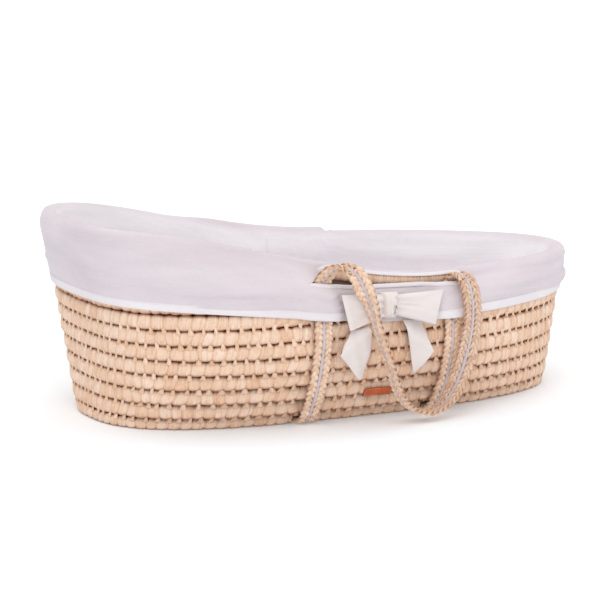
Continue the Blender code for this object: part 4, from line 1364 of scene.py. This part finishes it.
def make_mattress():
    """Foam pad in a cotton cover, crowned, with a piped edge."""
    low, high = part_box("mattress")
    bottom, top = low.z, high.z
    angles, place, length = even_angles(0.03, 0.006)
    edge = wall_point(angles, 0.030, -0.0505)
    centre = np.array(((low.x + high.x) / 2.0, 0.0, 0.0))
    half = (top - bottom) / 2.0
    rows = []
    section = ((0.02, 1.0), (0.25, 1.0), (0.5, 1.0), (0.7, 1.0), (0.84, 1.0), (0.93, 0.96), (0.975, 0.78),
               (1.0, 0.45), (1.004, 0.0), (1.0, -0.45), (0.975, -0.80), (0.93, -0.97), (0.8, -1.0),
               (0.5, -1.0), (0.02, -1.0))
    for share, height in section:
        ring = mix(centre, edge, share)
        crown = 0.0035 * (1.0 - share**2) if height > 0 else 0.0
        dent = 0.0006 * ripples(TURN * place / length, np.full_like(place, share), 41, 8, 0.6)
        ring[:, 2] = bottom + half + height * (half - 0.0010) + (crown + dent) * (height > 0.5)
        rows.append(ring)
    rows = np.array(rows)
    drop = distances(rows[:, 0])
    uv = rows[..., :2] + np.array((0.0, 0.3)) * drop[:, None, None]
    faces = grid_faces(len(rows), len(angles), close_columns=True)
    obj = mesh_object("mattress_pad", rows, faces, LOOK["mattress"], COTTON_WHITE, uv)
    with edited(obj) as bm:
        bmesh.ops.holes_fill(bm, edges=[e for e in bm.edges if e.is_boundary])
        bmesh.ops.recalc_face_normals(bm, faces=bm.faces)
    inflate(obj, voxel=0.007, pressure=3.0, cap=0.004, floor=bottom)
    keep(obj, "mattress", "mattress_cover", "mattress")
    for name, height in (("upper", 0.62), ("lower", -0.62)):
        ring = mix(centre, edge, 1.001)
        ring[:, 2] = bottom + half + height * half
        piping = round_cord(f"mattress_piping_{name}", ring, place, PIPING_RADIUS, look="trim",
                            tint=COTTON_WHITE * 0.97, around=8, closed=True)
        keep(piping, "mattress", "mattress_cover")


def inflate(obj, voxel, pressure, cap, floor):
    """Fills a closed cover from inside for a moment, so that its cloth swells and settles."""
    bpy.context.view_layer.objects.active = obj
    remesh = obj.modifiers.new("remesh", "REMESH")
    remesh.mode = "VOXEL"
    remesh.voxel_size = voxel
    bpy.ops.object.modifier_apply(modifier=remesh.name)
    count = len(obj.data.vertices)
    before = np.empty(count * 3, np.float32)
    obj.data.vertices.foreach_get("co", before)
    cloth = obj.modifiers.new("cover", "CLOTH")
    cloth.settings.use_pressure = True
    cloth.settings.uniform_pressure_force = pressure
    cloth.settings.effector_weights.gravity = 0.0
    cloth.point_cache.frame_end = 12
    for number in range(1, 13):
        bpy.context.scene.frame_set(number)
    bpy.ops.object.modifier_apply(modifier=cloth.name)
    bpy.context.scene.frame_set(1)
    after = np.empty(count * 3, np.float32)
    obj.data.vertices.foreach_get("co", after)
    before, after = before.reshape(-1, 3), after.reshape(-1, 3)
    move = after - before
    length = np.linalg.norm(move, axis=1, keepdims=True)
    after = before + move * np.minimum(1.0, cap / np.maximum(length, 1e-9))
    after[:, 2] = np.maximum(after[:, 2], floor)
    obj.data.vertices.foreach_set("co", after.astype(np.float32).ravel())
    obj.data.polygons.foreach_set("use_smooth", np.ones(len(obj.data.polygons), bool))
    paint(obj.data, COTTON_WHITE)
    lay_texture(obj.data, after[:, :2] + after[:, 2:] * 0.5)
    obj.data.update()


# ---- stage
def make_stage():
    """White floor, soft sky and three soft lights, and the photo's camera."""
    bpy.ops.mesh.primitive_plane_add(size=40.0, location=(0.0, 8.0, -0.0003))
    floor = bpy.context.object
    floor.name = "studio_floor"
    floor.data.materials.append(floor_material())

    world = bpy.data.worlds.new("studio")
    bpy.context.scene.world = world
    world.use_nodes = True
    background = world.node_tree.nodes["Background"]
    background.inputs["Color"].default_value = (0.98, 0.985, 1.0, 1.0)
    background.inputs["Strength"].default_value = 0.66

    for name, direction, softness, power in (
            ("key", (-0.45, -0.75, 1.0), 45.0, 0.95),
            ("fill", (0.9, -0.6, 0.7), 60.0, 0.25),
            ("top", (0.1, 0.4, 1.0), 60.0, 0.75)):
        light = bpy.data.lights.new(name, "SUN")
        light.energy = power
        light.angle = np.radians(softness)
        light.color = (1.0, 0.995, 0.985)
        obj = bpy.data.objects.new(name, light)
        obj.rotation_euler = (-Vector(direction)).to_track_quat("-Z", "Y").to_euler()
        bpy.context.scene.collection.objects.link(obj)

    camera = bpy.data.cameras.new("camera")
    camera.sensor_width = 36.0
    camera.lens = 207.7
    camera.clip_end = 100.0
    obj = bpy.data.objects.new("camera", camera)
    target = Vector((-0.0278, 0.0, 0.1464))
    azimuth, elevation, distance = np.radians(-26.6), np.radians(10.59), 5.21
    obj.location = target + distance * Vector((
        np.sin(azimuth) * np.cos(elevation), -np.cos(azimuth) * np.cos(elevation), np.sin(elevation)))
    obj.rotation_euler = (target - obj.location).to_track_quat("-Z", "Y").to_euler()
    bpy.context.scene.collection.objects.link(obj)
    bpy.context.scene.camera = obj
    bpy.context.scene.view_settings.view_transform = "Standard"


make_stage()
make_wall()
make_base()
make_straps()
make_handles()
make_liner()
make_binding()
make_hem()
make_bow()
make_tag()
make_mattress()
